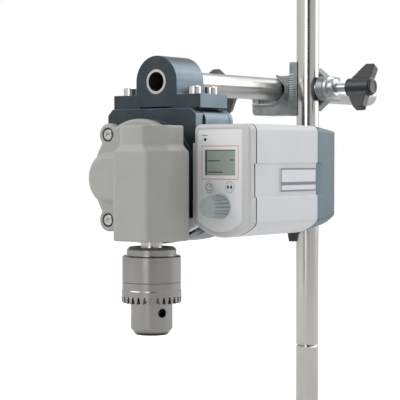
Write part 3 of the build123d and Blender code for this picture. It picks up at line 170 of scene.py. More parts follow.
def pattern(material, scale, stretch=(1.0, 1.0, 1.0), detail=4.0):
    """Noise on Object coordinates, stretched along an axis for ground and brushed marks."""
    place = add_node(material, "ShaderNodeTexCoord")
    mapping = add_node(material, "ShaderNodeMapping")
    mapping.inputs["Scale"].default_value = stretch
    noise = add_node(material, "ShaderNodeTexNoise")
    noise.inputs["Scale"].default_value = scale
    noise.inputs["Detail"].default_value = detail
    noise.inputs["Roughness"].default_value = 0.55
    join(material, place.outputs["Object"], mapping.inputs["Vector"])
    join(material, mapping.outputs["Vector"], noise.inputs["Vector"])
    return noise.outputs["Fac"]


def map_range(owner, value, start, end, low, high, **settings):
    """A value that goes from low to high while another goes from start to end."""
    spread = add_node(owner, "ShaderNodeMapRange", **settings)
    spread.inputs["From Min"].default_value = start
    spread.inputs["From Max"].default_value = end
    spread.inputs["To Min"].default_value = low
    spread.inputs["To Max"].default_value = high
    join(owner, value, spread.inputs["Value"])
    return spread.outputs["Result"]


def vary_colour(material, mask, low, high, start=0.35, end=0.65):
    """Base colour that drifts between two shades along a pattern."""
    ramp = add_node(material, "ShaderNodeValToRGB")
    first, last = ramp.color_ramp.elements
    first.position, last.position = start, end
    first.color, last.color = (*low, 1.0), (*high, 1.0)
    join(material, mask, ramp.inputs["Fac"])
    join(material, ramp.outputs["Color"], principled(material).inputs["Base Color"])


def vary_roughness(material, mask, low, high):
    spread = map_range(material, mask, start=0.3, end=0.7, low=low, high=high)
    join(material, spread, principled(material).inputs["Roughness"])


def raise_surface(material, mask, height):
    """Bump of a real height in metres."""
    bump = add_node(material, "ShaderNodeBump")
    bump.inputs["Strength"].default_value = 1.0
    bump.inputs["Distance"].default_value = height
    join(material, mask, bump.inputs["Height"])
    join(material, bump.outputs["Normal"], principled(material).inputs["Normal"])


def shade(colour, factor):
    return tuple(min(1.0, part * factor) for part in colour)


MADE = {}


def made_once(maker):
    """A finish is made once and shared by the pieces that have it."""
    def shared():
        name = f"{maker.__name__}_finish"
        if name not in MADE:
            MADE[name] = maker(name)
        return MADE[name]
    return shared


@made_once
def ground_steel(name):
    """Stainless rod, ground and polished, with fine rings round it."""
    material = new_finish(name, (0.60, 0.595, 0.58), metallic=1.0, roughness=0.14)
    rings = pattern(material, 900.0, stretch=(0.05, 0.05, 3.0))
    smears = pattern(material, 60.0, stretch=(1.0, 1.0, 0.3), detail=2.0)
    vary_colour(material, smears, (0.58, 0.57, 0.55), (0.62, 0.61, 0.59))
    vary_roughness(material, smears, 0.13, 0.18)
    raise_surface(material, rings, 0.0012 * MM)
    return material


@made_once
def drawn_tube(name):
    """Stainless tube with fine lines along it."""
    material = new_finish(name, (0.60, 0.60, 0.59), metallic=1.0, roughness=0.26)
    lines = pattern(material, 700.0, stretch=(1.0, 0.02, 1.0), detail=2.0)
    smears = pattern(material, 60.0, detail=2.0)
    vary_colour(material, smears, (0.49, 0.485, 0.475), (0.53, 0.525, 0.515))
    vary_roughness(material, smears, 0.30, 0.36)
    raise_surface(material, lines, 0.0015 * MM)
    return material


@made_once
def turned_steel(name):
    """Turned and ground chuck steel, with the tool's rings round it."""
    material = new_finish(name, (0.56, 0.55, 0.53), metallic=1.0, roughness=0.24)
    rings = pattern(material, 1100.0, stretch=(0.03, 0.03, 2.0), detail=2.0)
    smears = pattern(material, 80.0, detail=2.0)
    vary_colour(material, smears, (0.31, 0.302, 0.285), (0.36, 0.352, 0.335))
    vary_roughness(material, rings, 0.20, 0.30)
    raise_surface(material, rings, 0.0015 * MM)
    return material


def soil_hollows(material, bare_steel, inner, outer):
    """Painted shade: near black inside a radius round the chuck's axis, where its hollows lie, bare steel
    outside it.
    """
    x, y, _ = middle_of("chuck_sleeve")
    place = add_node(material, "ShaderNodeTexCoord")
    flat = add_node(material, "ShaderNodeVectorMath", operation="MULTIPLY")
    flat.inputs[1].default_value = (1.0, 1.0, 0.0)
    away = add_node(material, "ShaderNodeVectorMath", operation="DISTANCE")
    away.inputs[1].default_value = (x, y, 0.0)
    join(material, place.outputs["Object"], flat.inputs[0])
    join(material, flat.outputs["Vector"], away.inputs[0])
    ring = map_range(material, away.outputs["Value"], inner, outer, low=0.0, high=1.0)
    # painted shade: the near-black colour inside the inner radius stands in for the shade in the hollows
    vary_colour(material, ring, (0.03, 0.028, 0.025), bare_steel, start=0.1, end=0.9)


def chuck_steel(name, inner, outer):
    """Turned chuck steel with painted shade in its hollows."""
    material = new_finish(name, (0.52, 0.51, 0.49), metallic=1.0, roughness=0.22)
    rings = pattern(material, 1100.0, stretch=(0.03, 0.03, 2.0), detail=2.0)
    soil_hollows(material, (0.345, 0.338, 0.318), inner, outer)
    vary_roughness(material, rings, 0.14, 0.20)
    raise_surface(material, rings, 0.0015 * MM)
    return material


@made_once
def toothed_steel(name):
    # painted shade inside 17.2 mm of the sleeve's axis, where the gaps between its teeth lie
    return chuck_steel(name, 17.2 * MM, 18.2 * MM)


@made_once
def bored_steel(name):
    # painted shade inside 10.6 mm of the body's axis
    return chuck_steel(name, 10.6 * MM, 12.2 * MM)


@made_once
def zinc_casting(name):
    """Rough die-cast zinc of the clamp."""
    material = new_finish(name, (0.36, 0.375, 0.38), metallic=0.75, roughness=0.42)
    grain = pattern(material, 700.0, detail=5.0)
    patches = pattern(material, 160.0, detail=5.0)
    vary_colour(material, patches, (0.19, 0.206, 0.208), (0.28, 0.296, 0.298))
    vary_roughness(material, patches, 0.32, 0.48)
    raise_surface(material, grain, 0.05 * MM)
    return material


@made_once
def zinc_plate(name):
    """Bright zinc plating with a cool cast."""
    material = new_finish(name, (0.54, 0.56, 0.58), metallic=1.0, roughness=0.30)
    patches = pattern(material, 260.0, detail=3.0)
    vary_colour(material, patches, (0.36, 0.385, 0.40), (0.45, 0.475, 0.49))
    vary_roughness(material, patches, 0.32, 0.44)
    raise_surface(material, patches, 0.004 * MM)
    return material


@made_once
def bright_screw(name):
    """Stainless socket screws."""
    material = new_finish(name, (0.62, 0.61, 0.59), metallic=1.0, roughness=0.22)
    rings = pattern(material, 1000.0, detail=2.0)
    vary_roughness(material, rings, 0.20, 0.28)
    raise_surface(material, rings, 0.002 * MM)
    return material


@made_once
def black_oxide(name):
    material = new_finish(name, (0.035, 0.035, 0.037), metallic=0.8, roughness=0.42)
    patches = pattern(material, 400.0)
    vary_roughness(material, patches, 0.34, 0.5)
    raise_surface(material, patches, 0.02 * MM)
    return material


@made_once
def anodised_metal(name):
    """Milled aluminium, anodised dark, with the cutter's fine lines along it."""
    base = colours().anodised
    material = new_finish(name, base, metallic=0.85, roughness=0.34)
    lines = pattern(material, 900.0, stretch=(1.0, 0.03, 1.0), detail=3.0)
    patches = pattern(material, 70.0, detail=3.0)
    vary_colour(material, patches, shade(base, 0.92), shade(base, 1.08))
    vary_roughness(material, lines, 0.28, 0.40)
    raise_surface(material, lines, 0.010 * MM)
    return material


@made_once
def faced_metal(name):
    """Painted shade: a darker copy of the anodised metal for the faces that look forwards, with fine lines in
    it.
    """
    base = shade(colours().anodised, 0.42)
    material = new_finish(name, base, metallic=0.8, roughness=0.42)
    lines = pattern(material, 900.0, stretch=(1.0, 1.0, 0.06), detail=3.0)
    patches = pattern(material, 70.0, detail=3.0)
    vary_colour(material, patches, shade(base, 0.9), shade(base, 1.1))
    vary_roughness(material, lines, 0.36, 0.48)
    raise_surface(material, lines, 0.008 * MM)
    return material


@made_once
def painted_casting(name):
    """Satin paint over a die casting, with a slight orange peel."""
    base = colours().casting
    material = new_finish(name, base, roughness=0.50, specular=0.4)
    peel = pattern(material, 520.0, detail=2.0)
    patches = pattern(material, 45.0)
    vary_colour(material, patches, shade(base, 0.96), shade(base, 1.03))
    vary_roughness(material, peel, 0.40, 0.50)
    raise_surface(material, peel, 0.035 * MM)
    return material


def moulded(name, base, drift, gloss, height, grain=2600.0, patch=40.0, detail=3.0):
    """Plastic whose shade drifts in wide patches and whose gloss follows a fine grain."""
    material = new_finish(name, base, roughness=sum(gloss) / 2)
    spark = pattern(material, grain, detail=detail)
    patches = pattern(material, patch)
    vary_colour(material, patches, shade(base, drift[0]), shade(base, drift[1]))
    vary_roughness(material, spark, *gloss)
    raise_surface(material, spark, height)
    return material


@made_once
def box_plastic(name):
    """Moulded housing plastic with a fine spark texture."""
    return moulded(name, colours().box, drift=(0.98, 1.02), gloss=(0.40, 0.52), height=0.02 * MM)


@made_once
def bezel_plastic(name):
    """Warmer plastic of the box's front moulding."""
    return moulded(name, colours().bezel, drift=(0.98, 1.02), gloss=(0.38, 0.48), height=0.015 * MM)


@made_once
def rear_plastic(name):
    """Blue-grey plastic of the rear cover."""
    return moulded(name, colours().rear_cover, drift=(0.95, 1.05), gloss=(0.38, 0.50), height=0.02 * MM)


@made_once
def panel_film(name):
    """Printed polyester film of the control panel."""
    return moulded(name, colours().film, drift=(0.985, 1.015), gloss=(0.34, 0.44), height=0.006 * MM,
                   grain=3200.0, patch=50.0, detail=2.0)


@made_once
def knob_plastic(name):
    """Glass-filled black plastic of the wing knobs."""
    return moulded(name, colours().knob, drift=(0.85, 1.2), gloss=(0.32, 0.46), height=0.03 * MM,
                   grain=1500.0, patch=150.0)


@made_once
def dial_plastic(name):
    """Mid-grey plastic of the speed dial."""
    return moulded(name, (0.36, 0.41, 0.42), drift=(0.957, 1.043), gloss=(0.36, 0.48), height=0.015 * MM,
                   grain=2200.0, patch=200.0)


@made_once
def soft_rubber(name):
    material = new_finish(name, (0.018, 0.018, 0.019), roughness=0.6)
    grain = pattern(material, 900.0)
    vary_roughness(material, grain, 0.5, 0.7)
    raise_surface(material, grain, 0.02 * MM)
    return material


@made_once
def display_glass(name):
    """Grey-green liquid crystal display."""
    material = new_finish(name, (0.34, 0.39, 0.35), roughness=0.12)
    patches = pattern(material, 90.0)
    vary_colour(material, patches, (0.33, 0.385, 0.345), (0.355, 0.41, 0.365))
    raise_surface(material, patches, 0.002 * MM)
    return material


@made_once
def led_lens(name):
    material = new_finish(name, (0.02, 0.035, 0.02), roughness=0.2)
    grain = pattern(material, 1500.0)
    vary_roughness(material, grain, 0.16, 0.28)
    return material


def printed(name, low, high, gloss, grain=2400.0):
    """Ink that drifts between two shades."""
    material = new_finish(name, low, roughness=sum(gloss) / 2)
    speckle = pattern(material, grain)
    vary_colour(material, speckle, low, high)
    vary_roughness(material, speckle, *gloss)
    return material


@made_once
def segment_black(name):
    """Liquid crystal segments and printed symbols."""
    return printed(name, (0.028, 0.030, 0.033), (0.045, 0.047, 0.050), gloss=(0.36, 0.46))


@made_once
def display_shade(name):
    """Painted shadow along the display's left and top edges, inside its window."""
    return printed(name, (0.055, 0.050, 0.062), (0.080, 0.074, 0.086), gloss=(0.3, 0.4), grain=900.0)


@made_once
def red_print(name):
    """Thin red line printed round the display."""
    return printed(name, (0.58, 0.15, 0.12), (0.66, 0.20, 0.16), gloss=(0.38, 0.48))


@made_once
def blue_print(name):
    """Blue-grey border of the name plate."""
    return printed(name, (0.16, 0.21, 0.25), (0.18, 0.235, 0.275), gloss=(0.38, 0.48))


@made_once
def label_white(name):
    material = new_finish(name, (0.80, 0.82, 0.84), roughness=0.35)
    grain = pattern(material, 2400.0)
    vary_roughness(material, grain, 0.3, 0.42)
    raise_surface(material, grain, 0.004 * MM)
    return material


@made_once
def bronze(name):
    material = new_finish(name, (0.52, 0.33, 0.14), metallic=1.0, roughness=0.32)
    rings = pattern(material, 900.0, stretch=(0.1, 0.1, 2.0))
    vary_roughness(material, rings, 0.25, 0.4)
    raise_surface(material, rings, 0.01 * MM)
    return material


@made_once
def circuit_board(name):
    material = new_finish(name, (0.02, 0.13, 0.05), roughness=0.35)
    tracks = pattern(material, 500.0, detail=1.0)
    vary_colour(material, tracks, (0.015, 0.10, 0.04), (0.03, 0.17, 0.07), start=0.48, end=0.52)
    raise_surface(material, tracks, 0.03 * MM)
    return material


@made_once
def cast_iron(name):
    material = new_finish(name, (0.05, 0.05, 0.052), metallic=0.7, roughness=0.5)
    grain = pattern(material, 900.0)
    vary_roughness(material, grain, 0.42, 0.6)
    raise_surface(material, grain, 0.04 * MM)
    return material


FINISHES = {
    ground_steel: ("rod_lower", "rod_upper", "spindle_shaft", "rotor_shaft"),
    drawn_tube: ("support_arm",),
    turned_steel: ("chuck_nut", "chuck_jaw_1", "chuck_jaw_2", "chuck_jaw_3", "motor_bearings",
                   "spindle_bearings", "worm_bearing"),
    toothed_steel: ("chuck_sleeve",),
    bored_steel: ("chuck_body",),
    zinc_casting: ("clamp_body",),
    zinc_plate: ("rod_bush", "arm_bush", "rod_clamp_screw", "arm_clamp_screw", "rod_pad", "arm_pad",
                 "dial_spindle", "dial_encoder"),
    bright_screw: ("holder_screws", "case_screws", "cover_screws"),
    black_oxide: ("arm_set_screw", "rotor_magnet"),
    cast_iron: ("motor_stator",),
    anodised_metal: ("arm_holder", "housing_plate", "motor_housing", "housing_cover"),
    painted_casting: ("gear_case", "bearing_cap"),
    box_plastic: ("box_bezel", "box_cover", "control_bracket", "key_left", "key_right", "arm_end_plug"),
    rear_plastic: ("box_rear_cover",),
    panel_film: ("panel_overlay",),
    knob_plastic: ("rod_wing_knob", "arm_wing_knob", "rod_knob_cap", "arm_knob_cap", "cable_gland",
                   "switch_frame", "power_rocker"),
    dial_plastic: ("speed_dial",),
    soft_rubber: ("screw_seals", "spindle_seal"),
    display_glass: ("lcd_window",),
    led_lens: ("status_led",),
    label_white: ("name_plate",),
    bronze: ("worm_wheel",),
    circuit_board: ("control_board", "lcd_module"),
}


def dress(node, finish):
    """Gives a CAD node its finish."""
    mesh = NODES[node].data
    mesh.materials.clear()
    mesh.materials.append(finish())


# ---- modelling ----

WELD = 0.003 * MM               # a node's facets share corners that are closer than this
ON_PLANE = 0.01 * MM            # a corner within this lies on a plane
FLAT = math.radians(1.0)
SHARP = math.radians(35.0)
SHADE_ANGLE = math.radians(40.0)
FACING_FRONT = (math.radians(90.0), 0.0, 0.0)
FACING_SIDE = (0.0, math.radians(90.0), 0.0)
SELECT_MODE = {"edges": "EDGE", "faces": "FACE"}


def middle_of(node):
    """Middle of a node's box: x, y and z."""
    return tuple((low + high) / 2 for low, high in zip(*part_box(node)))


def clear():
    bpy.ops.object.select_all(action="DESELECT")


def take(piece):
    clear()
    bpy.context.view_layer.objects.active = piece
    piece.select_set(True)


def start_edit(piece, action="DESELECT"):
    """Edit mode with nothing selected, or with everything."""
    take(piece)
    bpy.ops.object.mode_set(mode="EDIT")
    bpy.ops.mesh.select_all(action=action)


def leave_edit():
    bpy.ops.object.mode_set(mode="OBJECT")


def pick(piece, kind, test):
    """In edit mode, selects only the edges or faces that pass a test."""
    bpy.ops.mesh.select_all(action="DESELECT")
    bpy.ops.mesh.select_mode(type=SELECT_MODE[kind])
    mesh = bmesh.from_edit_mesh(piece.data)
    for part in getattr(mesh, kind):
        if test(part):
            part.select_set(True)
    mesh.select_flush_mode()
    bmesh.update_edit_mesh(piece.data)


def is_sharp(edge):
    return len(edge.link_faces) == 2 and edge.calc_face_angle() > SHARP


def looks_forwards(face):
    return face.normal.y < -0.9


def apply_modifiers(piece):
    take(piece)
    for modifier in list(piece.modifiers):
        bpy.ops.object.modifier_apply(modifier=modifier.name)


def merged_copy(node):
    """New piece on a node's own shape, with its facets joined into whole faces."""
    piece = bpy.data.objects.new(f"{node}_dressed", NODES[node].data.copy())
    bpy.context.collection.objects.link(piece)
    start_edit(piece, "SELECT")
    bpy.ops.mesh.remove_doubles(threshold=WELD)
    bpy.ops.mesh.dissolve_limited(angle_limit=FLAT)
    bpy.ops.mesh.normals_make_consistent(inside=False)
    leave_edit()
    return piece


def ease_edges(piece, width, test=is_sharp, segments=3):
    start_edit(piece)
    pick(piece, "edges", test)
    bpy.ops.mesh.bevel(offset=width, segments=segments, affect="EDGES", clamp_overlap=False)
    leave_edit()


def smooth(piece, angle=SHADE_ANGLE):
    """Smooth shading that keeps flat faces flat."""
    take(piece)
    bpy.ops.object.shade_smooth_by_angle(angle=angle)
    piece.modifiers.new("weights", "WEIGHTED_NORMAL").keep_sharp = True
    apply_modifiers(piece)


def eased_copy(node, width, test=is_sharp, segments=3):
    """A node's own shape with its edges rounded."""
    piece = merged_copy(node)
    ease_edges(piece, width, test, segments)
    smooth(piece)
    return piece


def cast_round(piece, grain, passes):
    """Rounds every edge and corner as a foundry would, on a fine grid."""
    remesh = piece.modifiers.new("grid", "REMESH")
    remesh.mode = "VOXEL"
    remesh.voxel_size = grain
    relax = piece.modifiers.new("relax", "SMOOTH")
    relax.factor = 0.5
    relax.iterations = passes
    apply_modifiers(piece)
    bpy.ops.object.shade_smooth()


def settle(piece):
    """Object at the origin, unturned and unscaled, with its place in its mesh."""
    take(piece)
    bpy.ops.object.transform_apply(location=True, rotation=True, scale=True)


def add_block(name, middle, spans, turn=0.0):
    """Block round its middle, turned about the line from front to back."""
    clear()
    bpy.ops.mesh.primitive_cube_add(size=1.0, location=middle)
    block = bpy.context.object
    block.name = name
    block.scale = spans
    block.rotation_euler = (0.0, turn, 0.0)
    settle(block)
    return block


def join_pieces(pieces, name):
    clear()
    for piece in pieces:
        piece.select_set(True)
    bpy.context.view_layer.objects.active = pieces[0]
    bpy.ops.object.join()
    piece = bpy.context.object
    piece.name = name
    piece.data.name = name
    return piece


def go_with(piece, node, finish):
    """The piece rides beside its node and takes the given finish."""
    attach(piece, BODY_OF[node])
    piece.data.materials.clear()
    piece.data.materials.append(finish())


def stand_for(piece, node, finish):
    """The piece rides beside its node and takes the finish, and the node is hidden."""
    go_with(piece, node, finish)
    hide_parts(node)


# ---- clamp details ----

WEB_DEPTH = 1.1 * MM            # the rim and the ticks stand on a plane this far behind the clamp's front
RIM_WIDTH = 1.7 * MM
RIM_HEIGHT = 1.1 * MM
VEE_NOSE = 10.0 * MM            # from the arm's axis to the blunt nose of the vee's rim
VEE_NOSE_HALF = 2.4 * MM
VEE_SIDE = 7.0 * MM             # run of each slanted side, across and upwards alike
RIB_LEVEL = -10.9 * MM          # the rib under the vee, measured from the arm's axis
RIB_START = -1.5 * MM
RIB_END = -18.0 * MM
TICKS = 13
TICK_PITCH = 1.6 * MM
TICK_START = 13.2 * MM
TICK_LENGTH = 2.6 * MM
TICK_WIDTH = 0.6 * MM
TICK_HEIGHT = 0.35 * MM
CASE_PASSES = 5
CLAMP_GRAIN = 0.36 * MM
CLAMP_PASSES = 1


def raised_bar(start, end, front, width, height):
    """Bar laid on the clamp's web from one (x, z) to another."""
    run = Vector((end[0] - start[0], 0.0, end[1] - start[1]))
    middle = ((start[0] + end[0]) / 2, front, (start[1] + end[1]) / 2)
    return add_block("bar", middle, (run.length + width, 2 * height, width), -math.atan2(run.z, run.x))


def clamp_rim():
    """Raised rim round the arm's vee, the rib under it and the tick ribs beside it."""
    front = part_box("clamp_body")[0].y + WEB_DEPTH
    x, _, z = middle_of("support_arm")
    mouth, spread = VEE_NOSE - VEE_SIDE, VEE_NOSE_HALF + VEE_SIDE
    corners = [(mouth, spread), (VEE_NOSE, VEE_NOSE_HALF), (VEE_NOSE, -VEE_NOSE_HALF), (mouth, -spread),
               (RIB_START, RIB_LEVEL), (RIB_END, RIB_LEVEL)]
    rim = [(x + across, z + up) for across, up in corners]
    bars = [raised_bar(start, end, front, RIM_WIDTH, RIM_HEIGHT) for start, end in zip(rim, rim[1:])]
    for index in range(TICKS):
        level = z + (index - (TICKS - 1) / 2) * TICK_PITCH
        start, end = (x + TICK_START, level), (x + TICK_START + TICK_LENGTH, level)
        bars.append(raised_bar(start, end, front, TICK_WIDTH, TICK_HEIGHT))
    return bars


# ---- printed marks ----

def flat_mark(name, middle, spans, turn):
    clear()
    bpy.ops.mesh.primitive_plane_add(size=1.0, location=middle, rotation=turn)
    mark = bpy.context.object
    mark.name = name
    mark.scale = (*spans, 1.0)
    settle(mark)
    return mark


def printed_plate(name, low, high, front):
    """Flat mark between two (x, z) corners, facing forwards."""
    middle = ((low[0] + high[0]) / 2, front, (low[1] + high[1]) / 2)
    return flat_mark(name, middle, (high[0] - low[0], high[1] - low[1]), FACING_FRONT)


def printed_disc(middle, radius, corners, stretch=(1.0, 1.0)):
    clear()
    bpy.ops.mesh.primitive_circle_add(vertices=corners, radius=radius, fill_type="NGON",
                                      location=middle, rotation=FACING_FRONT)
    disc = bpy.context.object
    disc.scale = (*stretch, 1.0)
    settle(disc)
    return disc


def thicken(piece, towards=(0.0, -1.0, 0.0)):
    """Gives a flat mark the height of a print."""
    start_edit(piece, "SELECT")
    lift = Vector(towards) * sizes().print_height
    bpy.ops.mesh.extrude_region_move(TRANSFORM_OT_translate={"value": lift})
    bpy.ops.mesh.select_all(action="SELECT")
    bpy.ops.mesh.normals_make_consistent(inside=False)
    leave_edit()


def hollow(piece, border):
    """Leaves a border of each face and drops its middle."""
    start_edit(piece)
    pick(piece, "faces", lambda face: True)
    bpy.ops.mesh.inset(thickness=border, use_individual=True)
    bpy.ops.mesh.delete(type="FACE")
    leave_edit()


def dash_row(name, start, level, count, spans, gap, front):
    """Row of short printed dashes, like a line of small characters."""
    length, height = spans
    dashes = []
    for index in range(count):
        at = start + index * (length + gap)
        dashes.append(printed_plate(name, (at, level - height / 2), (at + length, level + height / 2), front))
    row = join_pieces(dashes, name)
    thicken(row)
    return row


# ---- operators ----

class STIRRER_OT_finishes(bpy.types.Operator):
    """Give every solid its finish."""

    bl_idname = "stirrer.finishes"
    bl_label = "Finishes"

    def execute(self, context):
        for finish, nodes in FINISHES.items():
            for node in nodes:
                dress(node, finish)
        left = set(NODES) - {node for nodes in FINISHES.values() for node in nodes}
        if left:
            raise RuntimeError(f"no finish for {sorted(left)}")
        return {"FINISHED"}


class STIRRER_OT_castings(bpy.types.Operator):
    """Round the gear case and the clamp as castings."""

    bl_idname = "stirrer.castings"
    bl_label = "Castings"

    def execute(self, context):
        case = merged_copy("gear_case")
        cast_round(case, sizes().casting_grain, CASE_PASSES)
        stand_for(case, "gear_case", painted_casting)
        clamp = join_pieces([merged_copy("clamp_body"), *clamp_rim()], "clamp_body_dressed")
        cast_round(clamp, CLAMP_GRAIN, CLAMP_PASSES)
        stand_for(clamp, "clamp_body", zinc_casting)
        stand_for(eased_copy("bearing_cap", sizes().edge_break), "bearing_cap", painted_casting)
        return {"FINISHED"}


class STIRRER_OT_machined(bpy.types.Operator):
    """Break the edges of the holder, the motor housing and the clamp's bushes."""

    bl_idname = "stirrer.machined"
    bl_label = "Machined metal"

    def execute(self, context):
        for node in ("arm_holder", "housing_plate", "motor_housing", "housing_cover"):
            piece = eased_copy(node, sizes().edge_break)
            stand_for(piece, node, anodised_metal)
            self.darken_front(piece)
        for node in ("rod_bush", "arm_bush"):
            stand_for(eased_copy(node, sizes().edge_break), node, zinc_plate)
        return {"FINISHED"}

    @staticmethod
    def darken_front(piece):
        """The faces that look forwards take the painted shade, a darker copy of the anodised finish."""
        piece.data.materials.append(faced_metal())
        for face in piece.data.polygons:
            if looks_forwards(face):
                face.material_index = 1


# ---- control box ----

OUTLINE_REACH = 2.8 * MM        # corners this near the bezel's box belong to its outline
SHORT_EDGE = 0.5 * MM           # edges no longer than this stay sharp
SEAL_FRONT = 0.02 * MM          # the seal's faces, behind the bezel's back
SEAL_BACK = 0.45 * MM


class STIRRER_OT_mouldings(bpy.types.Operator):
    """Round the edges of the control box's mouldings."""

    bl_idname = "stirrer.mouldings"
    bl_label = "Control box mouldings"

    def execute(self, context):
        low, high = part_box("box_bezel")

        def at_outline(place):
            return (place.x < low.x + OUTLINE_REACH or place.x > high.x - OUTLINE_REACH
                    or place.z < low.z + OUTLINE_REACH or place.z > high.z - OUTLINE_REACH)

        def at_front(edge):
            return is_sharp(edge) and all(at_outline(vert.co) and vert.co.y < low.y + ON_PLANE
                                          for vert in edge.verts)

        def at_seam(edge):
            return is_sharp(edge) and all(vert.co.y > high.y - ON_PLANE for vert in edge.verts)

        bezel = merged_copy("box_bezel")
        ease_edges(bezel, sizes().bezel_edge, at_front, 5)
        ease_edges(bezel, sizes().moulded_edge, at_seam, 2)
        smooth(bezel)
        stand_for(bezel, "box_bezel", bezel_plastic)
        for node, finish in (("box_cover", box_plastic), ("box_rear_cover", rear_plastic),
                             ("control_bracket", box_plastic)):
            stand_for(eased_copy(node, sizes().moulded_edge, self.long_edge, 2), node, finish)
        return {"FINISHED"}

    @staticmethod
    def long_edge(edge):
        return is_sharp(edge) and edge.calc_length() > SHORT_EDGE


class STIRRER_OT_box_seal(bpy.types.Operator):
    """Fit the thin dark seal that shows in the seam behind the bezel."""

    bl_idname = "stirrer.box_seal"
    bl_label = "Control box seal"

    def execute(self, context):
        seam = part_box("box_bezel")[1].y
        seal = merged_copy("box_cover")
        seal.name = "box_seal"
        start_edit(seal)
        for level, facing in ((seam + SEAL_BACK, 1.0), (seam + SEAL_FRONT, -1.0)):
            bpy.ops.mesh.select_all(action="SELECT")
            bpy.ops.mesh.bisect(plane_co=(0.0, level, 0.0), plane_no=(0.0, facing, 0.0),
                                use_fill=True, clear_outer=True)
        leave_edit()
        go_with(seal, "box_cover", soft_rubber)
        return {"FINISHED"}


# ---- speed dial ----

DIAL_FACETS = 54                # round the dial's skirt
FACETS_A_FLUTE = 3
DIAL_TAPER = 1.5 * MM
DIAL_ROUND = 0.5 * MM
DIAL_SHADE_ANGLE = math.radians(30.0)
FLUTE_MARGIN = 0.18 * MM
FLUTE_LIP = 0.25 * MM
FLUTE_DEPTH = 0.75 * MM
DIAL_FACE_AREA = 40.0 * MM * MM     # in front, only the dial's round face is larger
DIAL_RIM = 0.7 * MM
DIAL_LIP = 0.3 * MM
DIAL_DISH = 0.2 * MM
POINTER_WIDTH = 1.0 * MM
POINTER_BACK = 1.0 * MM         # the pointer's ends, from the dial's back
POINTER_FRONT = 4.0 * MM
POINTER_TOP = 0.15 * MM         # its levels, from the dial's top
POINTER_FOOT = 1.2 * MM
POINTER_EDGE = 0.15 * MM


class STIRRER_OT_speed_dial(bpy.types.Operator):
    """Mould the tapered speed dial with its grip flutes and pointer mark."""

    bl_idname = "stirrer.speed_dial"
    bl_label = "Speed dial"

    def execute(self, context):
        low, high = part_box("speed_dial")
        x, y, z = middle_of("speed_dial")
        outer = (high.x - low.x) / 2
        clear()
        bpy.ops.mesh.primitive_cone_add(vertices=DIAL_FACETS, radius1=outer, radius2=outer - DIAL_TAPER,
                                        depth=high.y - low.y, location=(x, y, z), rotation=FACING_FRONT)
        dial = bpy.context.object
        dial.name = "speed_dial_dressed"
        settle(dial)

        def in_flute(face):
            """Facets' middles lie on whole steps, so rounding sinks a neighbour here and there."""
            place = face.calc_center_median()
            turn = math.atan2(place.z - z, place.x - x) % math.tau
            step = int(turn / math.tau * DIAL_FACETS)
            return abs(face.normal.y) < 0.5 and step % FACETS_A_FLUTE == 0

        start_edit(dial)
        pick(dial, "faces", in_flute)
        bpy.ops.mesh.inset(thickness=FLUTE_MARGIN, use_individual=True)
        bpy.ops.mesh.inset(thickness=FLUTE_LIP, depth=-FLUTE_DEPTH, use_individual=True)
        pick(dial, "faces", looks_forwards)
        bpy.ops.mesh.bevel(offset=DIAL_ROUND, segments=3, affect="EDGES", clamp_overlap=True)
        pick(dial, "faces", lambda face: looks_forwards(face) and face.calc_area() > DIAL_FACE_AREA)
        bpy.ops.mesh.inset(thickness=DIAL_RIM)
        bpy.ops.mesh.inset(thickness=DIAL_LIP, depth=-DIAL_DISH)
        leave_edit()
        smooth(dial, DIAL_SHADE_ANGLE)
        stand_for(dial, "speed_dial", dial_plastic)
        self.add_pointer(x, high)
        return {"FINISHED"}

    def add_pointer(self, x, high):
        """Short raised mark on the dial's skirt."""
        place = (x, high.y - (POINTER_FRONT + POINTER_BACK) / 2, high.z - (POINTER_FOOT + POINTER_TOP) / 2)
        spans = (POINTER_WIDTH, POINTER_FRONT - POINTER_BACK, POINTER_FOOT - POINTER_TOP)
        pointer = add_block("dial_pointer", place, spans)
        ease_edges(pointer, POINTER_EDGE)
        smooth(pointer)
        go_with(pointer, "speed_dial", segment_black)


# ---- wing knobs ----

KNOB_GRAIN = 0.32 * MM
KNOB_PASSES = 6
CAP_EDGE = 0.25 * MM
CAP_FACE_AREA = 20.0 * MM * MM  # smaller faces on a cap's outside are left alone
CAP_RIM = 1.3 * MM
CAP_LIP = 0.4 * MM
CAP_DISH = 0.35 * MM


class STIRRER_OT_wing_knobs(bpy.types.Operator):
    """Round the moulded wing knobs and give their caps a dished face."""

    bl_idname = "stirrer.wing_knobs"
    bl_label = "Wing knobs"

    def execute(self, context):
        for side, end in (("rod", 1), ("arm", 0)):
            knob = merged_copy(f"{side}_wing_knob")
            cast_round(knob, KNOB_GRAIN, KNOB_PASSES)
            stand_for(knob, f"{side}_wing_knob", knob_plastic)
            cap = f"{side}_knob_cap"
            self.add_cap(cap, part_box(cap)[end].x)
        return {"FINISHED"}

    def add_cap(self, node, outside):
        """Turned cap with a rounded rim and a dished middle on its outside."""
        cap = merged_copy(node)
        ease_edges(cap, CAP_EDGE, segments=2)
        start_edit(cap)
        pick(cap, "faces", lambda face: abs(face.calc_center_median().x - outside) < 2 * ON_PLANE
             and face.calc_area() > CAP_FACE_AREA)
        bpy.ops.mesh.inset(thickness=CAP_RIM)
        bpy.ops.mesh.inset(thickness=CAP_LIP, depth=-CAP_DISH)
        leave_edit()
        smooth(cap)
        stand_for(cap, node, knob_plastic)


# ---- panel ----

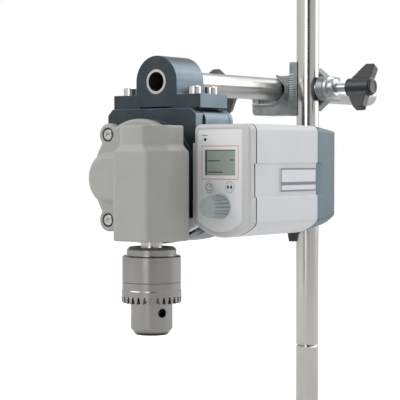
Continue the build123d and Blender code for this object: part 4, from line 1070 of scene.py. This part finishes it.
LINE_MARGIN = 2.6 * MM          # from the display's window to the outside of the red line
LINE_WIDTH = 0.4 * MM
SHADE_SIDE = 1.3 * MM           # painted shadow along the display's left side and along its top
SHADE_TOP = 0.5 * MM
ROW_INSET = 1.9 * MM            # from the window's left edge to the display's rows
RIGHT_ROW = 4.2 * MM            # from the window's right edge to the start of the row there
CHARACTER = (0.95 * MM, 0.75 * MM)
CHARACTER_GAP = 0.22 * MM
LABEL_LEFT = 2.2 * MM           # the lamp's label, from the lamp's middle and top
LABEL_LEVEL = 1.6 * MM
LABEL_LETTERS = 6
LABEL_LETTER = (0.5 * MM, 0.5 * MM)
LABEL_GAP = 0.25 * MM
GAUGE_RADIUS = 2.4 * MM
GAUGE_LINE = 0.35 * MM
GAUGE_CORNERS = 40
NEEDLE_WIDTH = 0.4 * MM
NEEDLE_LENGTH = 1.9 * MM
NEEDLE_TURN = math.radians(-40.0)
DIAMOND_RADIUS = 1.0 * MM
DIAMOND_STRETCH = (0.95, 1.35)
DIAMOND_OFFSET = 1.25 * MM      # from the key's middle, to either side
BORDER_WIDTH = 1.0 * MM
LOWER_FIELD = 0.34              # the lower blank field's share of the name plate


class STIRRER_OT_panel_prints(bpy.types.Operator):
    """Print the red line, the lamp's label and the display's rows."""

    bl_idname = "stirrer.panel_prints"
    bl_label = "Panel prints"

    def execute(self, context):
        low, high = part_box("lcd_window")
        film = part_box("panel_overlay")[0].y
        line = printed_plate("display_line", (low.x - LINE_MARGIN, low.z - LINE_MARGIN),
                             (high.x + LINE_MARGIN, high.z + LINE_MARGIN), film)
        hollow(line, LINE_WIDTH)
        thicken(line)
        go_with(line, "panel_overlay", red_print)
        self.add_display(low, high)
        lamp_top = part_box("status_led")[1].z
        label = dash_row("lamp_label", middle_of("status_led")[0] - LABEL_LEFT, lamp_top + LABEL_LEVEL,
                         LABEL_LETTERS, LABEL_LETTER, LABEL_GAP, film)
        go_with(label, "panel_overlay", segment_black)
        return {"FINISHED"}

    def add_display(self, low, high):
        """Painted shadow along the display's left and top edges, and its short rows of characters."""
        inner = low.x + SHADE_SIDE
        shades = join_pieces([
            printed_plate("side", (low.x, low.z), (inner, high.z), low.y),
            printed_plate("top", (inner, high.z - SHADE_TOP), (high.x, high.z), low.y),
        ], "display_edges")
        thicken(shades)
        go_with(shades, "lcd_window", display_shade)
        rows = (
            ("upper_row", low.x + ROW_INSET, 0.57, 8),
            ("lower_row", low.x + ROW_INSET, 0.12, 10),
            ("right_row", high.x - RIGHT_ROW, 0.60, 3),
        )
        for name, start, share, count in rows:
            level = low.z + share * (high.z - low.z)
            row = dash_row(name, start, level, count, CHARACTER, CHARACTER_GAP, low.y)
            go_with(row, "lcd_window", segment_black)


class STIRRER_OT_key_symbols(bpy.types.Operator):
    """Print a gauge on the left key and two diamonds on the right one."""

    bl_idname = "stirrer.key_symbols"
    bl_label = "Key symbols"

    def execute(self, context):
        self.add_gauge(*self.face_of("key_left"))
        self.add_diamonds(*self.face_of("key_right"))
        return {"FINISHED"}

    @staticmethod
    def face_of(key):
        """Middle of a key's front face."""
        x, _, z = middle_of(key)
        return x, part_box(key)[0].y, z

    def add_gauge(self, x, front, z):
        """Ring with a needle up to the right."""
        ring = printed_disc((x, front, z), GAUGE_RADIUS, GAUGE_CORNERS)
        hollow(ring, GAUGE_LINE)
        needle = printed_plate("needle", (x - NEEDLE_WIDTH / 2, z), (x + NEEDLE_WIDTH / 2, z + NEEDLE_LENGTH),
                               front)
        start_edit(needle, "SELECT")
        bpy.ops.transform.rotate(value=NEEDLE_TURN, orient_axis="Y", center_override=(x, front, z))
        leave_edit()
        gauge = join_pieces([ring, needle], "gauge_symbol")
        thicken(gauge)
        go_with(gauge, "key_left", segment_black)

    def add_diamonds(self, x, front, z):
        diamonds = join_pieces([
            printed_disc((x + offset, front, z), DIAMOND_RADIUS, 4, DIAMOND_STRETCH)
            for offset in (-DIAMOND_OFFSET, DIAMOND_OFFSET)
        ], "arrow_symbols")
        thicken(diamonds)
        go_with(diamonds, "key_right", segment_black)


class STIRRER_OT_name_border(bpy.types.Operator):
    """Print the border that leaves two blank fields on the side plate."""

    bl_idname = "stirrer.name_border"
    bl_label = "Name plate border"

    def execute(self, context):
        low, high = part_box("name_plate")
        _, y, z = middle_of("name_plate")
        border = flat_mark("name_border", (high.x, y, z), (high.z - low.z, high.y - low.y), FACING_SIDE)
        start_edit(border, "SELECT")
        split = low.z + LOWER_FIELD * (high.z - low.z)
        bpy.ops.mesh.bisect(plane_co=(high.x, y, split), plane_no=(0.0, 0.0, 1.0))
        leave_edit()
        hollow(border, BORDER_WIDTH)
        thicken(border, (1.0, 0.0, 0.0))
        go_with(border, "name_plate", blue_print)
        return {"FINISHED"}


# ---- stage ----

FLOOR_SIZE = 8.0
FLOOR_GLOW = 0.56
STUDIO_STRENGTH = 0.74
LAMPS = (                           # name, place, size and power
    ("key_lamp", (-1.1, -1.3, 1.25), (1.1, 1.1), 13.0),
    ("top_lamp", (0.3, 1.0, 1.35), (1.1, 2.2), 9.0),
)
LAMP_AIM = (-0.01, -0.13, 0.17)
CARD_LIGHT = 3.4                    # the brightest card of the ring
CARDS = (                           # degrees from the front towards the right, and brightness
    (-180.0, 0.5), (-120.0, 0.7), (-40.0, 0.75), (4.0, 0.9), (9.0, 3.4), (25.0, 3.4), (27.0, 0.05),
    (50.0, 0.10), (60.0, 0.62), (118.0, 0.75), (134.0, 2.9), (155.0, 2.9), (180.0, 0.5),
)
BRIGHT_CARD = (0.46, 0.76, 0.36)    # the way to the raised card
BRIGHT_CARD_EDGE = (0.90, 0.975)    # cosines at the card's outer and inner edge
BRIGHT_CARD_STRENGTH = 1.1
CAMERA_PLACE = (0.5605, -0.857, 0.1806)
CAMERA_TURN = math.radians(37.5)
CAMERA_TILT = math.radians(90.0 - 1.688)
CAMERA_LENS = 128.25
SENSOR_WIDTH = 36.0
WHITE = (1.0, 1.0, 1.0, 1.0)


class STIRRER_OT_stage(bpy.types.Operator):
    """Add the floor, the studio light and the camera."""

    bl_idname = "stirrer.stage"
    bl_label = "Stage"

    def execute(self, context):
        add_floor()
        light_world()
        for lamp in LAMPS:
            add_lamp(*lamp)
        add_camera()
        context.scene.view_settings.view_transform = "Standard"
        return {"FINISHED"}


def add_floor():
    """White floor that glows for the camera only, so that it shows white."""
    clear()
    bpy.ops.mesh.primitive_plane_add(size=FLOOR_SIZE, location=(0.0, 0.0, 0.0))
    floor = bpy.context.object
    floor.name = "floor"
    material = new_finish("floor_white", (0.86, 0.86, 0.86), roughness=0.9, specular=0.1)
    principled(material).inputs["Emission Color"].default_value = WHITE
    path = add_node(material, "ShaderNodeLightPath")
    glow = add_node(material, "ShaderNodeMath", operation="MULTIPLY")
    glow.inputs[1].default_value = FLOOR_GLOW
    join(material, path.outputs["Is Camera Ray"], glow.inputs[0])
    join(material, glow.outputs["Value"], principled(material).inputs["Emission Strength"])
    floor.data.materials.append(material)


def light_world():
    """White to the camera and a soft studio to the rest, with dark and bright cards for metal to show."""
    world = bpy.data.worlds.new("studio")
    world.use_nodes = True
    world.node_tree.nodes.clear()
    bpy.context.scene.world = world
    path = add_node(world, "ShaderNodeLightPath")
    place = add_node(world, "ShaderNodeTexCoord").outputs["Generated"]
    reflected = add_node(world, "ShaderNodeBackground")
    join(world, raised_card(world, place), reflected.inputs["Strength"])
    join(world, ring_of_cards(world, place), reflected.inputs["Color"])
    studio = add_node(world, "ShaderNodeBackground")
    studio.inputs["Strength"].default_value = STUDIO_STRENGTH
    white = add_node(world, "ShaderNodeBackground")
    white.inputs["Color"].default_value = WHITE
    shown = add_node(world, "ShaderNodeMath", operation="MAXIMUM")
    join(world, path.outputs["Is Glossy Ray"], shown.inputs[0])
    join(world, path.outputs["Is Transmission Ray"], shown.inputs[1])
    inner = mix(world, shown.outputs["Value"], studio.outputs["Background"], reflected.outputs["Background"])
    outer = mix(world, path.outputs["Is Camera Ray"], inner, white.outputs["Background"])
    output = add_node(world, "ShaderNodeOutputWorld")
    join(world, outer, output.inputs["Surface"])


def mix(world, share, first, second):
    mixer = add_node(world, "ShaderNodeMixShader")
    join(world, share, mixer.inputs["Fac"])
    join(world, first, mixer.inputs[1])
    join(world, second, mixer.inputs[2])
    return mixer.outputs["Shader"]


def ring_of_cards(world, place):
    """Brightness that metal shows, by the compass direction from the front towards the right."""
    parts = add_node(world, "ShaderNodeSeparateXYZ")
    forwards = add_node(world, "ShaderNodeMath", operation="MULTIPLY")
    forwards.inputs[1].default_value = -1.0
    turn = add_node(world, "ShaderNodeMath", operation="ARCTAN2")
    ramp = add_node(world, "ShaderNodeValToRGB")
    stops = ramp.color_ramp.elements
    for index, (degrees, light) in enumerate(CARDS):
        share = (degrees + 180.0) / 360.0
        stop = stops[index] if index < 2 else stops.new(share)
        stop.position = share
        level = light / CARD_LIGHT
        stop.color = (level, level, level, 1.0)
    join(world, place, parts.inputs[0])
    join(world, parts.outputs["Y"], forwards.inputs[0])
    join(world, parts.outputs["X"], turn.inputs[0])
    join(world, forwards.outputs["Value"], turn.inputs[1])
    turned = map_range(world, turn.outputs["Value"], -math.pi, math.pi, low=0.0, high=1.0)
    join(world, turned, ramp.inputs["Fac"])
    return ramp.outputs["Color"]


def raised_card(world, place):
    """Strength of the reflections, more towards the raised card."""
    facing = add_node(world, "ShaderNodeVectorMath", operation="DOT_PRODUCT")
    facing.inputs[1].default_value = Vector(BRIGHT_CARD).normalized()
    join(world, place, facing.inputs[0])
    return map_range(world, facing.outputs["Value"], *BRIGHT_CARD_EDGE, CARD_LIGHT,
                     CARD_LIGHT * BRIGHT_CARD_STRENGTH, interpolation_type="SMOOTHSTEP")


def add_lamp(name, place, size, power):
    bpy.ops.object.light_add(type="AREA", location=place)
    lamp = bpy.context.object
    lamp.name = name
    lamp.data.shape = "RECTANGLE"
    lamp.data.size, lamp.data.size_y = size
    lamp.data.energy = power
    aim = Vector(LAMP_AIM) - Vector(place)
    lamp.rotation_euler = aim.to_track_quat("-Z", "Y").to_euler()


def add_camera():
    bpy.ops.object.camera_add(location=CAMERA_PLACE, rotation=(CAMERA_TILT, 0.0, CAMERA_TURN))
    camera = bpy.context.object
    camera.name = "camera"
    camera.data.lens = CAMERA_LENS
    camera.data.sensor_width = SENSOR_WIDTH
    bpy.context.scene.camera = camera


# ---- add-on ----

class STIRRER_PT_panel(bpy.types.Panel):
    """Lists the stirrer's sizes and colours, and a button for each step."""

    bl_idname = "STIRRER_PT_panel"
    bl_label = "Overhead Stirrer"
    bl_space_type = "VIEW_3D"
    bl_region_type = "UI"
    bl_category = "Stirrer"

    def draw(self, context):
        for group in (context.scene.stirrer_sizes, context.scene.stirrer_colours):
            for key in group.__annotations__:
                self.layout.prop(group, key)
        for operator in OPERATORS:
            self.layout.operator(operator.bl_idname)


OPERATORS = (
    STIRRER_OT_finishes,
    STIRRER_OT_castings,
    STIRRER_OT_machined,
    STIRRER_OT_mouldings,
    STIRRER_OT_box_seal,
    STIRRER_OT_speed_dial,
    STIRRER_OT_wing_knobs,
    STIRRER_OT_panel_prints,
    STIRRER_OT_key_symbols,
    STIRRER_OT_name_border,
    STIRRER_OT_stage,
)
CLASSES = (StirrerSizes, StirrerColours, *OPERATORS, STIRRER_PT_panel)


def register():
    for cls in CLASSES:
        bpy.utils.register_class(cls)
    bpy.types.Scene.stirrer_sizes = bpy.props.PointerProperty(type=StirrerSizes)
    bpy.types.Scene.stirrer_colours = bpy.props.PointerProperty(type=StirrerColours)


def unregister():
    del bpy.types.Scene.stirrer_colours
    del bpy.types.Scene.stirrer_sizes
    for cls in reversed(CLASSES):
        bpy.utils.unregister_class(cls)


def main():
    register()
    for operator in OPERATORS:
        getattr(bpy.ops.stirrer, operator.bl_idname.split(".")[1])()


if __name__ == "__main__":
    main()
